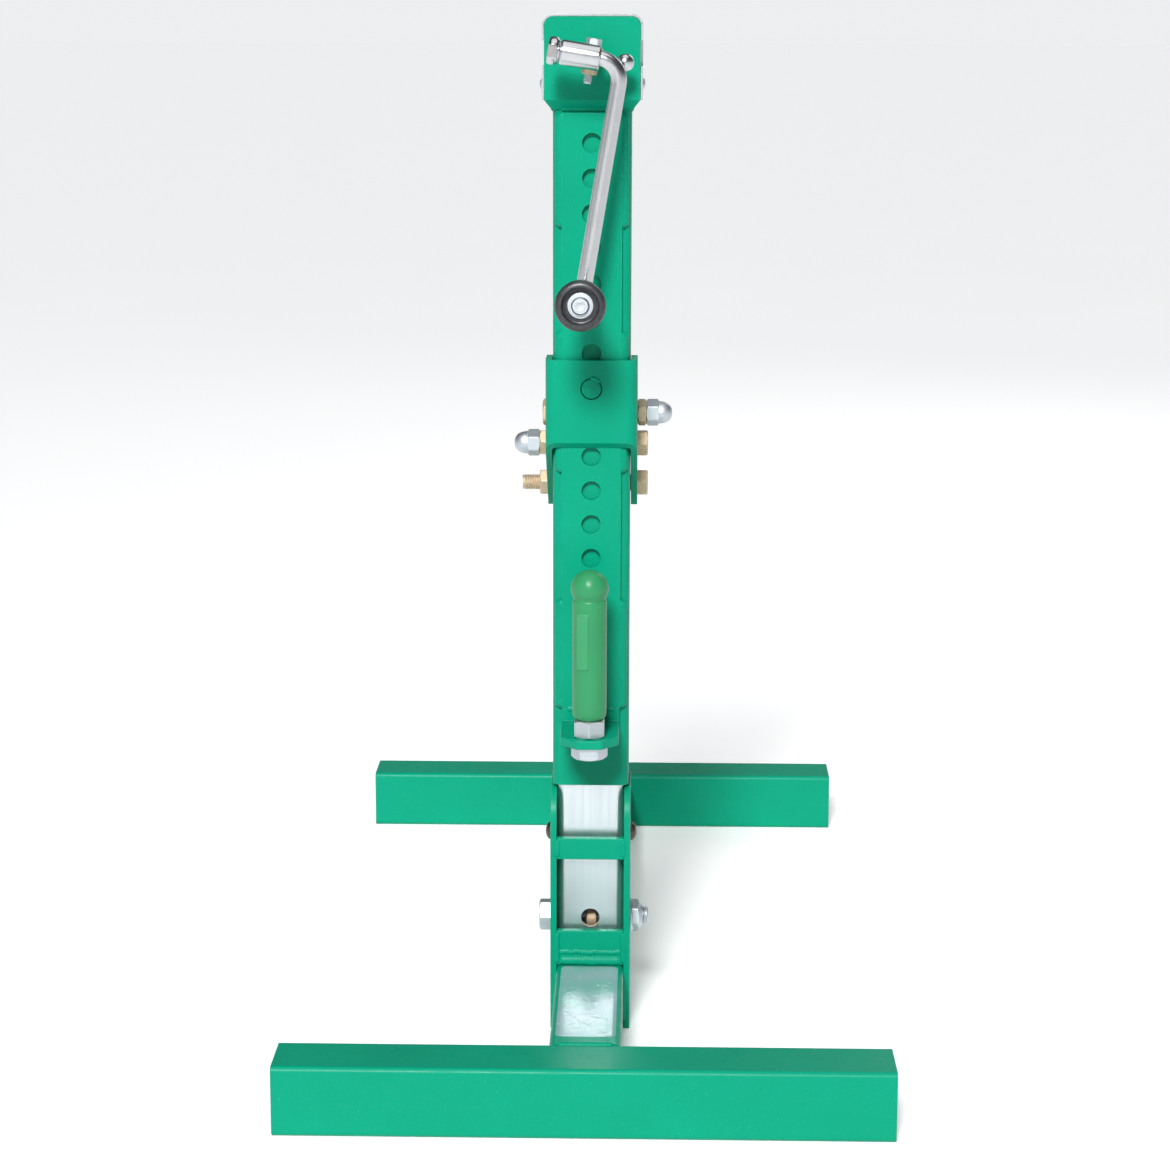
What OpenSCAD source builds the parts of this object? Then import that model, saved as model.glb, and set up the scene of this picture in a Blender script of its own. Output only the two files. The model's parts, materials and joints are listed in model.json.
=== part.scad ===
// Crank-up support stand for conduit bending: an H base of square tube, a yoke that holds a
// plated inner tube, and a painted outer tube that a side crank and a lead screw raise along it.
// A carriage slides on the outer tube and hangs from a row of holes.
// +Z is up, the crank faces -Y, and the origin is on the floor under the middle of the base.

/* [Base] */
// Width of the base, along each crossbar
base_w = 432; // [300:1:600]
// Length of the base, from the front face to the rear face
base_l = 813; // [700:1:1000]
// Outside size of the square tube of the base and of the inner tube
bar = 50.8; // [48:0.1:52]
// Wall of the square base tube
bar_wall = 3.2; // [2:0.1:5]
// Distance of the mast axis in front of the middle of the base
mast_set = 149.5; // [100:0.5:250]

/* [Yoke] */
// Thickness of each side plate
plate_t = 4.8; // [3:0.1:8]
// Depth of each side plate, front to back
plate_d = 77; // [70:1:100]
// Height of each side plate above the floor
plate_h = 189; // [170:1:189]
// Radius of the upper corners of a side plate
plate_r = 26; // [5:1:38]
// Height of the middle of the pivot bolt
pivot_z = 78.5; // [70:0.5:85]
// Diameter of the pivot bolt
pivot_d = 14; // [10:1:16]
// Height of the middle of the upper pin
pin_z = 146; // [125:0.5:160]
// Diameter of the upper pin
pin_d = 9.5; // [6:0.5:12]

/* [Mast] */
// Outside size of the painted outer tube
outer_w = 57.15; // [57:0.05:58]
// Height of the lower end of the outer tube
outer_z = 190; // [190:1:200]
// Height of the upper end of the inner tube
inner_top = 590; // [500:5:620]
// How far the crank raises the mast
lift = 300; // [100:10:300]
// Width of the perforated strip
strip_w = 44; // [38:0.5:46]
// Thickness of the perforated strip
strip_t = 4.8; // [3:0.1:6]
// Diameter of the holes in the strip
hole_d = 14.3; // [8:0.1:18]
// Distance between neighbouring holes
pitch = 25.4; // [25:0.1:26]
// Number of holes
hole_count = 17; // [12:1:17]

/* [Head] */
// Width of the gear head
head_w = 69.3; // [66:0.1:74]
// Height of the top of the gear head
head_top = 760; // [756:1:770]
// Height of the crank shaft
crank_z = 732; // [730:0.5:734]
// Diameter of the lead screw
screw_d = 19; // [14:0.5:20]
// Number of teeth on each bevel gear
gear_teeth = 16; // [14:1:18]
// Pitch radius of each bevel gear
gear_r = 16; // [15:0.5:17]

/* [Crank] */
// Lean of the crank arm from straight down
crank_lean = 9.5; // [0:0.5:20]
// Distance of the collar in front of the mast
collar_reach = 45; // [40:1:60]
// Diameter of the bent crank rod
rod_d = 11.6; // [8:0.1:12]
// Length of the arm, from the collar to the middle of the knob
arm_len = 168; // [120:1:180]
// Diameter of the knob
knob_d = 36; // [28:1:44]
// Length of the knob
knob_len = 52; // [40:1:60]

/* [Grip] */
// Distance of the grip in front of the mast
grip_reach = 50; // [44:1:60]
// Diameter of the grip
grip_d = 25.2; // [20:0.2:28]
// Diameter of the ball on top of the grip
grip_ball = 27.6; // [24:0.2:32]
// Height of the top face of the grip's bracket
bracket_z = 241.4; // [235:0.2:245]
// Height of the ball's top
grip_top = 366; // [340:1:380]

/* [Carriage] */
// Room between the mast and the carriage on each side
carriage_gap = 0.4; // [0.4:0.1:1.5]
// Thickness of the carriage plate
carriage_t = 4.8; // [4:0.1:6]
// Height of the front web
web_h = 61; // [50:1:70]
// Hole that the locking tooth faces, counted from the top
tooth_hole = 7; // [6:1:8]
// Diameter of the three cross bolts
cross_d = 12; // [10:0.5:12]

/* [Hidden] */
$fn = 64;

eps = 0.01;
fit = 0.1;
paint = [0.0, 0.68, 0.53];
zinc = [0.78, 0.80, 0.82];
yellow_zinc = [0.80, 0.70, 0.45];

mast_y = -mast_set;
mast_front = mast_y - outer_w / 2;
mast_rear = mast_y + outer_w / 2;
strip_front = mast_front - strip_t;

// Base and yoke
bar_r = 4;
yoke_front = mast_front - 10;
plate_mid = yoke_front + plate_d / 2;
plate_x = bar / 2 + plate_t / 2;
strap_t = 6.3;
strap_upper = [134.5, 151];
strap_lower = [bar, 78];
label_len = 150;
label_w = 43;
label_t = 0.4;

// Inner tube and what is fixed to it
inner_wall = 3;
inner_r = 6;
inner_bore = bar - 2 * inner_wall;
sight_hole_z = 84.4;
ring_w = 7.2;
ring_d = 27;
pivot_af = 22;
nut_h = 30;

// Mast
outer_wall = 2.9;
outer_r = 6.5;
outer_top = 697;
neck_z = 694;
head_z = 701;
head_r = 7;
head_wall = 3;
strip_top = 692;
strip_bottom = bracket_z + 9.6;
first_hole_z = 670.6;
cover_t = 1.5;
cover_gap = 0.15;
cover_window = [725, 743];
bearing_z = outer_top - 8;
bearing_h = 6;
neck_d = 12;
screw_bottom = inner_top - lift - 20;

// Bevel gears share their cone's apex where the two shafts' axes cross
gear_face = 7;
tip_angle = 49;
root_angle = 40;
tooth_share = 0.34;
shaft_d = 14;
bush_d = shaft_d + 2.8;
bush_flange = 3;

// Crank
collar_y = mast_front - collar_reach;
collar_d = 18;
collar_from = -21.8;
collar_to = 6.6;
bend_r = 15;
corner_x = 22;
rod_head_d = 20;
rod_head_len = 8.6;
lock_y = collar_y + collar_d / 2 + 7;
lock_d = 6.3;
stub_x = 24;
stub_d = 7;
stub_from = 4.5;
ball_d = 13;
axle_d = 8;
knob_gap = 0.6;

// Grip
grip_y = mast_front - grip_reach;
bracket_t = 6.4;
bracket_w = 43;
bracket_front = grip_y - 16;
grip_bolt_d = 14;
grip_af = 22;
grip_nut_h = 13;
grip_head_h = 9.8;
grip_z = bracket_z + grip_nut_h;

// Carriage
sleeve_in = outer_w / 2 + carriage_gap;
sleeve_out = sleeve_in + carriage_t;
sleeve_r = 8;
web_back = strip_front - carriage_gap;
web_front = web_back - carriage_t;
tooth_z = first_hole_z - tooth_hole * pitch;
web_top = tooth_z + 21;
web_bottom = web_top - web_h;
roller_d = 20;
bolt_y = mast_rear + roller_d / 2 + 0.5;
bolt_heights = [465, 441.5, 411];
cross_af = 18;
jam_h = 6.6;
acorn_hex_h = 9.6;
acorn_tip = 10;
head_h = 8;
lug_t = 12.7;
lug_hole_d = 16;
lug_y = bolt_y + 50;
lug_z = 447;
spacer_d = 19;

// ---- Shapes used by several sub-parts ----

// A rectangle with rounded corners, centred on the origin
module rounded_rect(w, d, r) {
  square([w - 2 * r, d], center = true);
  square([w, d - 2 * r], center = true);
  for (x = [-1, 1], y = [-1, 1])
    translate([x * (w / 2 - r), y * (d / 2 - r)]) circle(r);
}

// Section of a square tube with rounded corners
module tube_section(size, wall, r) {
  difference() {
    rounded_rect(size, size, r);
    rounded_rect(size - 2 * wall, size - 2 * wall, max(r - wall, 1));
  }
}

// Carries a shape drawn along +Z over to an axis along +X, at a given Y and Z
module along_x(y, z, x = 0) {
  translate([x, y, z]) rotate([0, 90, 0]) children();
}

// Carries a shape drawn along +Z over to an axis along -Y, at a given X and Z
module along_front(x, y, z) {
  translate([x, y, z]) rotate([90, 0, 0]) children();
}

// Extrudes a YZ outline along X, centred on X = x
module side_profile(x, thickness) {
  translate([x - thickness / 2, 0, 0]) rotate([90, 0, 90]) linear_extrude(thickness) children();
}

// Hexagonal prism given by its width across flats
module hex(af, h) {
  cylinder(d = af / cos(30), h = h, $fn = 6);
}

// Hexagonal prism with the outer corners turned off at its far end
module hex_head(af, h) {
  intersection() {
    hex(af, h);
    union() {
      cylinder(d = af / cos(30) + 1, h = h * 0.72);
      translate([0, 0, h * 0.72 - eps])
        cylinder(d1 = af / cos(30) + 0.6, d2 = af * 0.94, h = h * 0.28 + eps);
    }
  }
}

// Nut with its bore
module nut(af, h, bore) {
  difference() {
    hex(af, h);
    translate([0, 0, -1]) cylinder(d = bore, h = h + 2);
  }
}

// Cap nut: a hexagon with a domed end, and a blind bore from the hexagon's side
module acorn_nut(af, hex_h, dome_h, bore) {
  difference() {
    union() {
      hex(af, hex_h);
      translate([0, 0, hex_h - eps]) cylinder(d1 = af * 0.94, d2 = af * 0.8, h = dome_h * 0.4);
      translate([0, 0, hex_h + dome_h * 0.4 - eps])
        cylinder(d1 = af * 0.8, d2 = af * 0.42, h = dome_h * 0.6);
    }
    translate([0, 0, -1]) cylinder(d = bore, h = hex_h + 1);
  }
}

// Low domed head, flat side at z = 0
module dome(d, h) {
  r = (d * d / 4 + h * h) / (2 * h);
  intersection() {
    translate([0, 0, h - r]) sphere(r);
    cylinder(d = d, h = h);
  }
}

// Sets a crank sub-part, drawn with its arm straight down, at the lean it is stored in
module at_crank() {
  translate([0, 0, crank_z]) rotate([0, crank_lean, 0]) children();
}

// ---- Base ----

module crossbar(y) {
  color(paint)
    translate([-base_w / 2, y, bar / 2]) rotate([90, 0, 90])
      linear_extrude(base_w) tube_section(bar, bar_wall, bar_r);
}

module front_crossbar() { crossbar((bar - base_l) / 2); }

module rear_crossbar() { crossbar((base_l - bar) / 2); }

module base_beam() {
  length = base_l - 2 * bar;
  color(paint)
    translate([0, length / 2, bar / 2]) rotate([90, 0, 0])
      linear_extrude(length) tube_section(bar, bar_wall, bar_r);
}

module beam_label() {
  label_y = yoke_front - 3 - label_len / 2;
  color("gainsboro")
    translate([0, label_y, bar]) linear_extrude(label_t) rounded_rect(label_w, label_len, 3);
}

// ---- Yoke ----

// Both bores run through the plates and the inner tube
module yoke_bores(gap) {
  along_x(mast_y, pivot_z, -50) cylinder(d = pivot_d + gap, h = 100);
  along_x(mast_y, pin_z, -50) cylinder(d = pin_d + gap, h = 100);
}

module yoke_plate(side) {
  color(paint)
    difference() {
      side_profile(side * plate_x, plate_t)
        union() {
          translate([plate_mid - plate_d / 2, 0]) square([plate_d, plate_h / 2]);
          translate([plate_mid, plate_h / 2]) rounded_rect(plate_d, plate_h, plate_r);
        }
      yoke_bores(fit);
    }
}

module yoke_plate_left() { yoke_plate(-1); }

module yoke_plate_right() { yoke_plate(1); }

module yoke_strap(z) {
  color(paint)
    translate([-bar / 2, yoke_front, z[0]]) cube([bar, strap_t, z[1] - z[0]]);
}

module yoke_strap_upper() { yoke_strap(strap_upper); }

module yoke_strap_lower() { yoke_strap(strap_lower); }

module inner_tube() {
  color(zinc)
    difference() {
      translate([0, mast_y, bar]) linear_extrude(inner_top - bar) tube_section(bar, inner_wall, inner_r);
      yoke_bores(fit);
      along_front(0, mast_y, sight_hole_z) cylinder(d = hole_d, h = bar);
    }
}

module pivot_bolt() {
  head_x = bar / 2 + plate_t;
  color(zinc) {
    along_x(mast_y, pivot_z, -head_x - eps) cylinder(d = pivot_d, h = 2 * head_x + 14 + eps);
    mirror([1, 0, 0]) along_x(mast_y, pivot_z, head_x) hex_head(pivot_af, 9.6);
  }
}

module pivot_lock_nut() {
  color(zinc)
    along_x(mast_y, pivot_z, bar / 2 + plate_t)
      difference() {
        union() {
          cylinder(d = 26, h = 2);
          hex(pivot_af, 7);
          translate([0, 0, 7 - eps]) cylinder(d1 = 20, d2 = 17, h = 2.6);
        }
        translate([0, 0, -1]) cylinder(d = pivot_d + fit, h = 20);
      }
}

module pivot_ring() {
  color(yellow_zinc)
    along_x(mast_y, pivot_z, -ring_w / 2 + 0.6)
      difference() {
        cylinder(d = ring_d, h = ring_w);
        translate([0, 0, -1]) cylinder(d = pivot_d + fit, h = ring_w + 2);
      }
}

module upper_pin() {
  head_x = bar / 2 + plate_t;
  color([0.25, 0.24, 0.23]) {
    along_x(mast_y, pin_z, -head_x - eps) cylinder(d = pin_d, h = 2 * head_x + 2 * eps);
    along_x(mast_y, pin_z, head_x) dome(14, 4.8);
    mirror([1, 0, 0]) along_x(mast_y, pin_z, head_x) dome(14, 4.8);
  }
}

module lead_nut() {
  color("peru")
    translate([0, mast_y, inner_top - nut_h])
      difference() {
        linear_extrude(nut_h) rounded_rect(inner_bore - fit, inner_bore - fit, inner_r - inner_wall + 0.5);
        translate([0, 0, -1]) cylinder(d = screw_d + 0.6, h = nut_h + 2);
      }
}

// ---- Mast ----

module outer_tube() {
  color(paint)
    translate([0, mast_y, outer_z])
      linear_extrude(outer_top - outer_z) tube_section(outer_w, outer_wall, outer_r);
}

module perforated_strip() {
  color(paint)
    difference() {
      translate([-strip_w / 2, strip_front, strip_bottom])
        cube([strip_w, strip_t, strip_top - strip_bottom]);
      for (i = [0 : hole_count - 1])
        along_front(0, mast_front + 1, first_hole_z - i * pitch) cylinder(d = hole_d, h = strip_t + 2);
    }
}

// Front outline of the gear head: rounded upper corners and a neck that narrows to the tube
module head_outline(w, top, r, neck_w) {
  translate([-w / 2, head_z]) square([w, top - r - head_z]);
  translate([-w / 2 + r, top - 2 * r]) square([w - 2 * r, 2 * r]);
  for (x = [-1, 1])
    translate([x * (w / 2 - r), top - r]) circle(r);
  polygon([
    [-w / 2, head_z + 2], [-w / 2, head_z], [-neck_w / 2, neck_z],
    [neck_w / 2, neck_z], [w / 2, head_z], [w / 2, head_z + 2]
  ]);
}

module head_housing() {
  neck_w = outer_w + 1.2;
  hollow = head_w - 2 * head_wall;
  color(paint)
    difference() {
      intersection() {
        translate([0, mast_y + head_w / 2, 0]) rotate([90, 0, 0])
          linear_extrude(head_w) head_outline(head_w, head_top, head_r, neck_w);
        side_profile(0, head_w) translate([mast_y, 0]) head_outline(head_w, head_top + 5, 2, neck_w);
      }
      translate([-hollow / 2, mast_y - hollow / 2, head_z + 1])
        cube([hollow, hollow, head_top - head_z - 1 - head_wall]);
      translate([0, mast_y, neck_z - 1])
        linear_extrude(10) rounded_rect(outer_w + fit, outer_w + fit, outer_r);
      along_front(0, mast_y + head_w, crank_z) cylinder(d = bush_d + fit, h = 2 * head_w);
    }
}

// Plated cover that wraps the head's top and sides, open over the side windows
module head_cover() {
  inner = head_w / 2 + cover_gap;
  depth = head_w - 4;
  color(zinc)
    difference() {
      translate([0, mast_y + head_w / 2, 0]) rotate([90, 0, 0])
        linear_extrude(depth)
          difference() {
            union() {
              translate([-inner - cover_t, head_z])
                square([2 * (inner + cover_t), head_top - head_r - head_z]);
              translate([-inner - cover_t + head_r, head_top - head_r])
                square([2 * (inner + cover_t - head_r), head_r + cover_t]);
              for (x = [-1, 1])
                translate([x * (inner - head_r), head_top - head_r])
                  circle(head_r + cover_t);
            }
            translate([-inner, head_z - 1]) square([2 * inner, head_top - head_r - head_z + 1]);
            translate([-inner + head_r, head_top - head_r - 1])
              square([2 * (inner - head_r), head_r + 1 + cover_gap]);
            for (x = [-1, 1])
              translate([x * (inner - head_r), head_top - head_r]) circle(head_r + cover_gap);
          }
      translate([-head_w, mast_y - head_w / 2, cover_window[0]])
        cube([2 * head_w, head_w - 12, cover_window[1] - cover_window[0]]);
    }
}

module head_rivets() {
  color(zinc)
    for (side = [0, 1], y = [-22, 22])
      mirror([side, 0, 0]) along_x(mast_y + y, head_z + 11, head_w / 2 + cover_gap + cover_t) dome(7, 1.8);
}

module bearing_plate() {
  size = outer_w - 2 * outer_wall - fit;
  color("slategray")
    translate([0, mast_y, bearing_z])
      difference() {
        linear_extrude(5) rounded_rect(size, size, 4);
        translate([0, 0, -1]) cylinder(d = neck_d + 1, h = 7);
      }
}

// Thrust bearing under the bearing plate: two washers with a cage between them
module thrust_bearing() {
  color("silver")
    translate([0, mast_y, bearing_z - bearing_h - fit])
      difference() {
        cylinder(d = 36, h = bearing_h);
        translate([0, 0, -1]) cylinder(d = neck_d + 0.8, h = bearing_h + 2);
        translate([0, 0, 2.2]) rotate_extrude() translate([15, 0]) square([5, 1.6]);
      }
}

// Flanged bush for the crank shaft, drawn with its flange outside
module shaft_bush() {
  difference() {
    union() {
      cylinder(d = bush_d, h = head_wall);
      translate([0, 0, head_wall]) cylinder(d = bush_d + 1.4, h = bush_flange);
    }
    translate([0, 0, -1]) cylinder(d = shaft_d + 0.12, h = 20);
  }
}

module shaft_bush_front() {
  color("darkgoldenrod") along_front(0, mast_y - head_w / 2 + head_wall, crank_z) shaft_bush();
}

module shaft_bush_rear() {
  color("darkgoldenrod")
    translate([0, mast_y + head_w / 2 - head_wall, crank_z]) rotate([-90, 0, 0]) shaft_bush();
}

// ---- Grip ----

module grip_bracket() {
  chamfer = 12;
  color(paint)
    difference() {
      union() {
        translate([0, 0, bracket_z - bracket_t])
          linear_extrude(bracket_t)
            polygon([
              [-bracket_w / 2, mast_front], [-bracket_w / 2, bracket_front + chamfer + 2],
              [-bracket_w / 2 + chamfer, bracket_front], [bracket_w / 2 - chamfer, bracket_front],
              [bracket_w / 2, bracket_front + chamfer + 2], [bracket_w / 2, mast_front]
            ]);
        translate([-bracket_w / 2, strip_front, bracket_z - eps])
          cube([bracket_w, strip_t, strip_bottom - bracket_z + eps]);
      }
      translate([0, grip_y, bracket_z - bracket_t - 1]) cylinder(d = grip_bolt_d + fit, h = bracket_t + 2);
    }
}

module grip_bolt() {
  color(zinc)
    translate([0, grip_y, bracket_z - bracket_t]) {
      translate([0, 0, -1]) cylinder(d = grip_bolt_d, h = bracket_t + grip_nut_h + 31);
      rotate([180, 0, 0]) hex_head(grip_af + 1.5, grip_head_h);
    }
}

module grip_nut() {
  color(zinc)
    translate([0, grip_y, bracket_z])
      rotate([0, 0, 30])
        nut(grip_af, grip_nut_h, grip_bolt_d + fit);
}

module grip_handle() {
  ball_z = grip_top - grip_ball / 2;
  color([0.2, 0.65, 0.42])
    difference() {
      union() {
        translate([0, grip_y, grip_z]) cylinder(d1 = grip_d - 6, d2 = grip_d, h = 6);
        translate([0, grip_y, grip_z + 6 - eps]) cylinder(d = grip_d, h = ball_z - grip_z - 6 + eps);
        translate([0, grip_y, ball_z]) sphere(d = grip_ball);
      }
      translate([0, grip_y, grip_z - 1]) cylinder(d = grip_bolt_d + fit, h = 34);
    }
}

// Blank raised panel on the front left of the grip
module grip_panel() {
  panel_w = 10;
  panel_h = 42;
  rise = 0.8;
  color([0.2, 0.65, 0.42])
    translate([0, grip_y, grip_z + 39])
      intersection() {
        difference() {
          cylinder(d = grip_d + 2 * rise, h = panel_h);
          translate([0, 0, -1]) cylinder(d = grip_d + fit, h = panel_h + 2);
        }
        rotate([0, 0, -24])
          translate([-panel_w / 2, -grip_d, 0])
            cube([panel_w, grip_d, panel_h]);
      }
}

// ---- Lead screw and bevel gears ----

// Screw with the collar that carries the mast, and the neck that carries the gear
module lead_screw() {
  collar_h = 6;
  collar_z = bearing_z - bearing_h - 2 * fit - collar_h;
  color("silver")
    translate([0, mast_y, 0]) {
      translate([0, 0, screw_bottom]) cylinder(d = screw_d, h = collar_z + eps - screw_bottom);
      translate([0, 0, collar_z]) cylinder(d = 34, h = collar_h);
      translate([0, 0, collar_z + collar_h - eps])
        cylinder(d = neck_d, h = crank_z - gear_r + gear_face - collar_z - collar_h);
    }
}

// Bevel gear with its apex at the origin, opening down -Z; shift turns it by part of a tooth
module bevel_gear(bore, shift) {
  low = gear_r + 1;
  high = gear_r - gear_face;
  step = 360 / gear_teeth;
  half = step * tooth_share / 2;
  difference() {
    union() {
      translate([0, 0, -low])
        cylinder(r1 = low * tan(root_angle), r2 = high * tan(root_angle), h = low - high);
      intersection() {
        translate([0, 0, -low])
          cylinder(r1 = low * tan(tip_angle), r2 = high * tan(tip_angle), h = low - high);
        for (i = [0 : gear_teeth - 1])
          rotate([0, 0, (i + shift) * step])
            translate([0, 0, -low - 1])
              linear_extrude(low)
                polygon([[0, 0], [40, -40 * tan(half)], [40, 40 * tan(half)]]);
      }
    }
    translate([0, 0, -low - 1]) cylinder(d = bore, h = low + 2);
  }
}

module screw_gear() {
  hub_z = bearing_z + 5.5;
  color("dimgray")
    difference() {
      union() {
        translate([0, mast_y, crank_z]) rotate([0, 0, -90]) bevel_gear(neck_d + fit, 0);
        translate([0, mast_y, hub_z]) cylinder(d = 22, h = crank_z - gear_r - hub_z);
      }
      translate([0, mast_y, hub_z - 1]) cylinder(d = neck_d + fit, h = crank_z - hub_z);
    }
}

module shaft_pinion() {
  color("dimgray")
    translate([0, mast_y, crank_z]) rotate([-90, 0, 0]) rotate([0, 0, 90]) bevel_gear(shaft_d + fit, 0.5);
}

// ---- Crank ----

module crank_shaft() {
  back = mast_y + head_w / 2 + bush_flange + 1;
  color(zinc)
    at_crank()
      difference() {
        along_front(0, back, 0) cylinder(d = shaft_d, h = back - collar_y);
        along_x(collar_y, 0, -50) cylinder(d = collar_d + fit, h = 100);
        translate([0, lock_y, -20]) cylinder(d = lock_d + fit, h = 40);
        along_x(lock_y, 0, stub_from) cylinder(d = stub_d + fit, h = 20);
      }
}

module crank_collar() {
  color(zinc)
    at_crank()
      difference() {
        along_x(collar_y, 0, collar_from) cylinder(d = collar_d, h = collar_to - collar_from);
        along_x(collar_y, 0, collar_from - 1) cylinder(d = rod_d + 0.12, h = 60);
      }
}

module collar_bolt() {
  color(zinc)
    at_crank() {
      translate([0, lock_y, -19]) cylinder(d = lock_d, h = 28);
      translate([0, lock_y, 8.5]) hex_head(10, 4.5);
    }
}

module collar_nut() {
  color(yellow_zinc) at_crank() translate([0, lock_y, -12.5]) nut(10, 4, lock_d + fit);
}

module ball_stub() {
  color(zinc)
    at_crank()
      translate([0, lock_y, 0]) {
        along_x(0, 0, stub_from) cylinder(d = stub_d, h = shaft_d / 2 + 1 - stub_from);
        along_x(0, 0, shaft_d / 2 + 1 - eps) cylinder(d1 = stub_d, d2 = 5, h = stub_x - shaft_d / 2 - 1);
        translate([stub_x, 0, 0]) sphere(d = ball_d);
      }
}

// Bent rod: through the collar, a quarter bend, then down to the knob
module crank_rod() {
  along = corner_x - bend_r;
  color(zinc)
    at_crank()
      translate([0, collar_y, 0]) {
        along_x(0, 0, collar_from - 1) cylinder(d = rod_d, h = along - collar_from + 1 + eps);
        translate([along, 0, -bend_r]) rotate([90, 0, 0])
          rotate_extrude(angle = 90) translate([bend_r, 0]) circle(d = rod_d);
        translate([corner_x, 0, -arm_len - rod_d / 2])
          cylinder(d = rod_d, h = arm_len + rod_d / 2 - bend_r + eps);
      }
}

// Turned head that keeps the rod in the collar
module rod_head() {
  color(zinc)
    at_crank()
      translate([collar_from - 0.3, collar_y, 0]) rotate([0, -90, 0])
        difference() {
          union() {
            cylinder(d = rod_head_d, h = rod_head_len * 0.55);
            translate([0, 0, rod_head_len * 0.55 - eps])
              cylinder(d1 = rod_head_d, d2 = rod_head_d * 0.8, h = rod_head_len * 0.45);
          }
          translate([0, 0, -1]) cylinder(d = rod_d + fit, h = 2);
        }
}

module knob_axle() {
  color(zinc)
    at_crank()
      difference() {
        along_front(corner_x, collar_y, -arm_len) {
          cylinder(d = axle_d, h = rod_d / 2 + knob_gap + knob_len - 7);
          translate([0, 0, rod_d / 2 + knob_gap + knob_len - 7.8]) cylinder(d = 19, h = 1.4);
          translate([0, 0, rod_d / 2 + knob_gap + knob_len - 6.4 - eps]) dome(13, 4);
        }
        translate([corner_x, collar_y, -arm_len - rod_d]) cylinder(d = rod_d, h = 2 * rod_d);
      }
}

// Turned knob: a waist, a round shoulder and a dished end around the axle's head
module knob() {
  r = knob_d / 2;
  color([0.13, 0.13, 0.14])
    at_crank()
      along_front(corner_x, collar_y, -arm_len)
        translate([0, 0, rod_d / 2 + knob_gap])
          rotate_extrude()
            difference() {
              union() {
                polygon([
                  [0, 0], [11, 0], [11.5, 5], [11, 14], [r - 4, knob_len * 0.55],
                  [r, knob_len * 0.72], [r, knob_len - 4], [0, knob_len - 4]
                ]);
                translate([0, knob_len - 8]) square([r - 4, 8]);
                translate([r - 4, knob_len - 4]) circle(4);
              }
              translate([-1, -1]) square([1 + axle_d / 2 + 0.06, knob_len + 2]);
              translate([0, knob_len - 8]) square([13.2, 10]);
            }
}

// ---- Carriage ----

// Outline of a carriage side, from the front web down and back to the bottom bolt
module carriage_side_outline() {
  margin = 15;
  rear = bolt_y + margin;
  polygon([
    [web_front, web_bottom], [web_front, web_top], [mast_y - 4, web_top],
    [rear, bolt_heights[0] + margin - 2], [rear, bolt_heights[2] - 2],
    [rear - 8, bolt_heights[2] - margin], [bolt_y - 12, bolt_heights[2] - margin]
  ]);
}

// One plate bent to a U: the side outline cut from a U section with rounded front corners
module carriage_sleeve() {
  depth = 2 * (bolt_y - web_front + 40);
  color(paint)
    difference() {
      intersection() {
        side_profile(0, 2 * sleeve_out + 2) carriage_side_outline();
        translate([0, 0, bolt_heights[2] - 40])
          linear_extrude(web_top - bolt_heights[2] + 80)
            translate([0, web_front + depth / 2])
              difference() {
                rounded_rect(2 * sleeve_out, depth, sleeve_r);
                rounded_rect(2 * sleeve_in, depth - 2 * carriage_t, sleeve_r - carriage_t);
              }
      }
      along_front(0, web_back + 1, tooth_z) cylinder(d = 16, h = carriage_t + 2);
      for (z = bolt_heights)
        along_x(bolt_y, z, -60) cylinder(d = cross_d + fit, h = 120);
    }
}

module lock_tooth() {
  color(paint) along_front(0, web_back, tooth_z) cylinder(d = 15.9, h = carriage_t + 0.6);
}

// Cross bolt with its head on one side: side is -1 for the left and 1 for the right
module cross_bolt(z, side, head, reach) {
  color(yellow_zinc)
    mirror([side > 0 ? 0 : 1, 0, 0]) {
      along_x(bolt_y, z, sleeve_out) hex_head(cross_af, head);
      along_x(bolt_y, z, -sleeve_out - reach) cylinder(d = cross_d, h = 2 * sleeve_out + reach + eps);
    }
}

module cross_bolt_top() { cross_bolt(bolt_heights[0], -1, 4.5, jam_h + acorn_hex_h - 2); }

module cross_bolt_middle() { cross_bolt(bolt_heights[1], 1, head_h, jam_h + acorn_hex_h - 2); }

module cross_bolt_bottom() { cross_bolt(bolt_heights[2], 1, head_h, 20); }

module carriage_jam_nuts() {
  color(yellow_zinc) {
    along_x(bolt_y, bolt_heights[0], sleeve_out) nut(cross_af, jam_h, cross_d + fit);
    for (i = [1, 2])
      along_x(bolt_y, bolt_heights[i], -sleeve_out - jam_h) nut(cross_af, jam_h, cross_d + fit);
  }
}

module acorn_nuts() {
  start = sleeve_out + jam_h;
  color(zinc) {
    along_x(bolt_y, bolt_heights[0], start) acorn_nut(cross_af, acorn_hex_h, acorn_tip, cross_d + fit);
    mirror([1, 0, 0])
      along_x(bolt_y, bolt_heights[1], start) acorn_nut(cross_af, acorn_hex_h, acorn_tip, cross_d + fit);
  }
}

module lug_spacers() {
  length = sleeve_in - lug_t / 2 - fit;
  color(zinc)
    for (side = [0, 1], i = [0, 1])
      mirror([side, 0, 0])
        along_x(bolt_y, bolt_heights[i], lug_t / 2 + fit / 2)
          difference() {
            cylinder(d = spacer_d, h = length);
            translate([0, 0, -1]) cylinder(d = cross_d + fit, h = length + 2);
          }
}

// Outline of the lug: square round the upper two bolts, and a round end about the eye
function lug_outline() =
  let (edge = 10, eye_r = 15, low = bolt_heights[1] - edge, high = bolt_heights[0] + edge)
  concat(
    [
      [bolt_y + edge, high], [bolt_y - edge + 3, high], [bolt_y - edge, high - 3],
      [bolt_y - edge, low + 3], [bolt_y - edge + 3, low], [bolt_y + edge, low]
    ],
    [for (a = [-80 : 10 : 80]) [lug_y + eye_r * cos(a), lug_z + eye_r * sin(a)]]
  );

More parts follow.
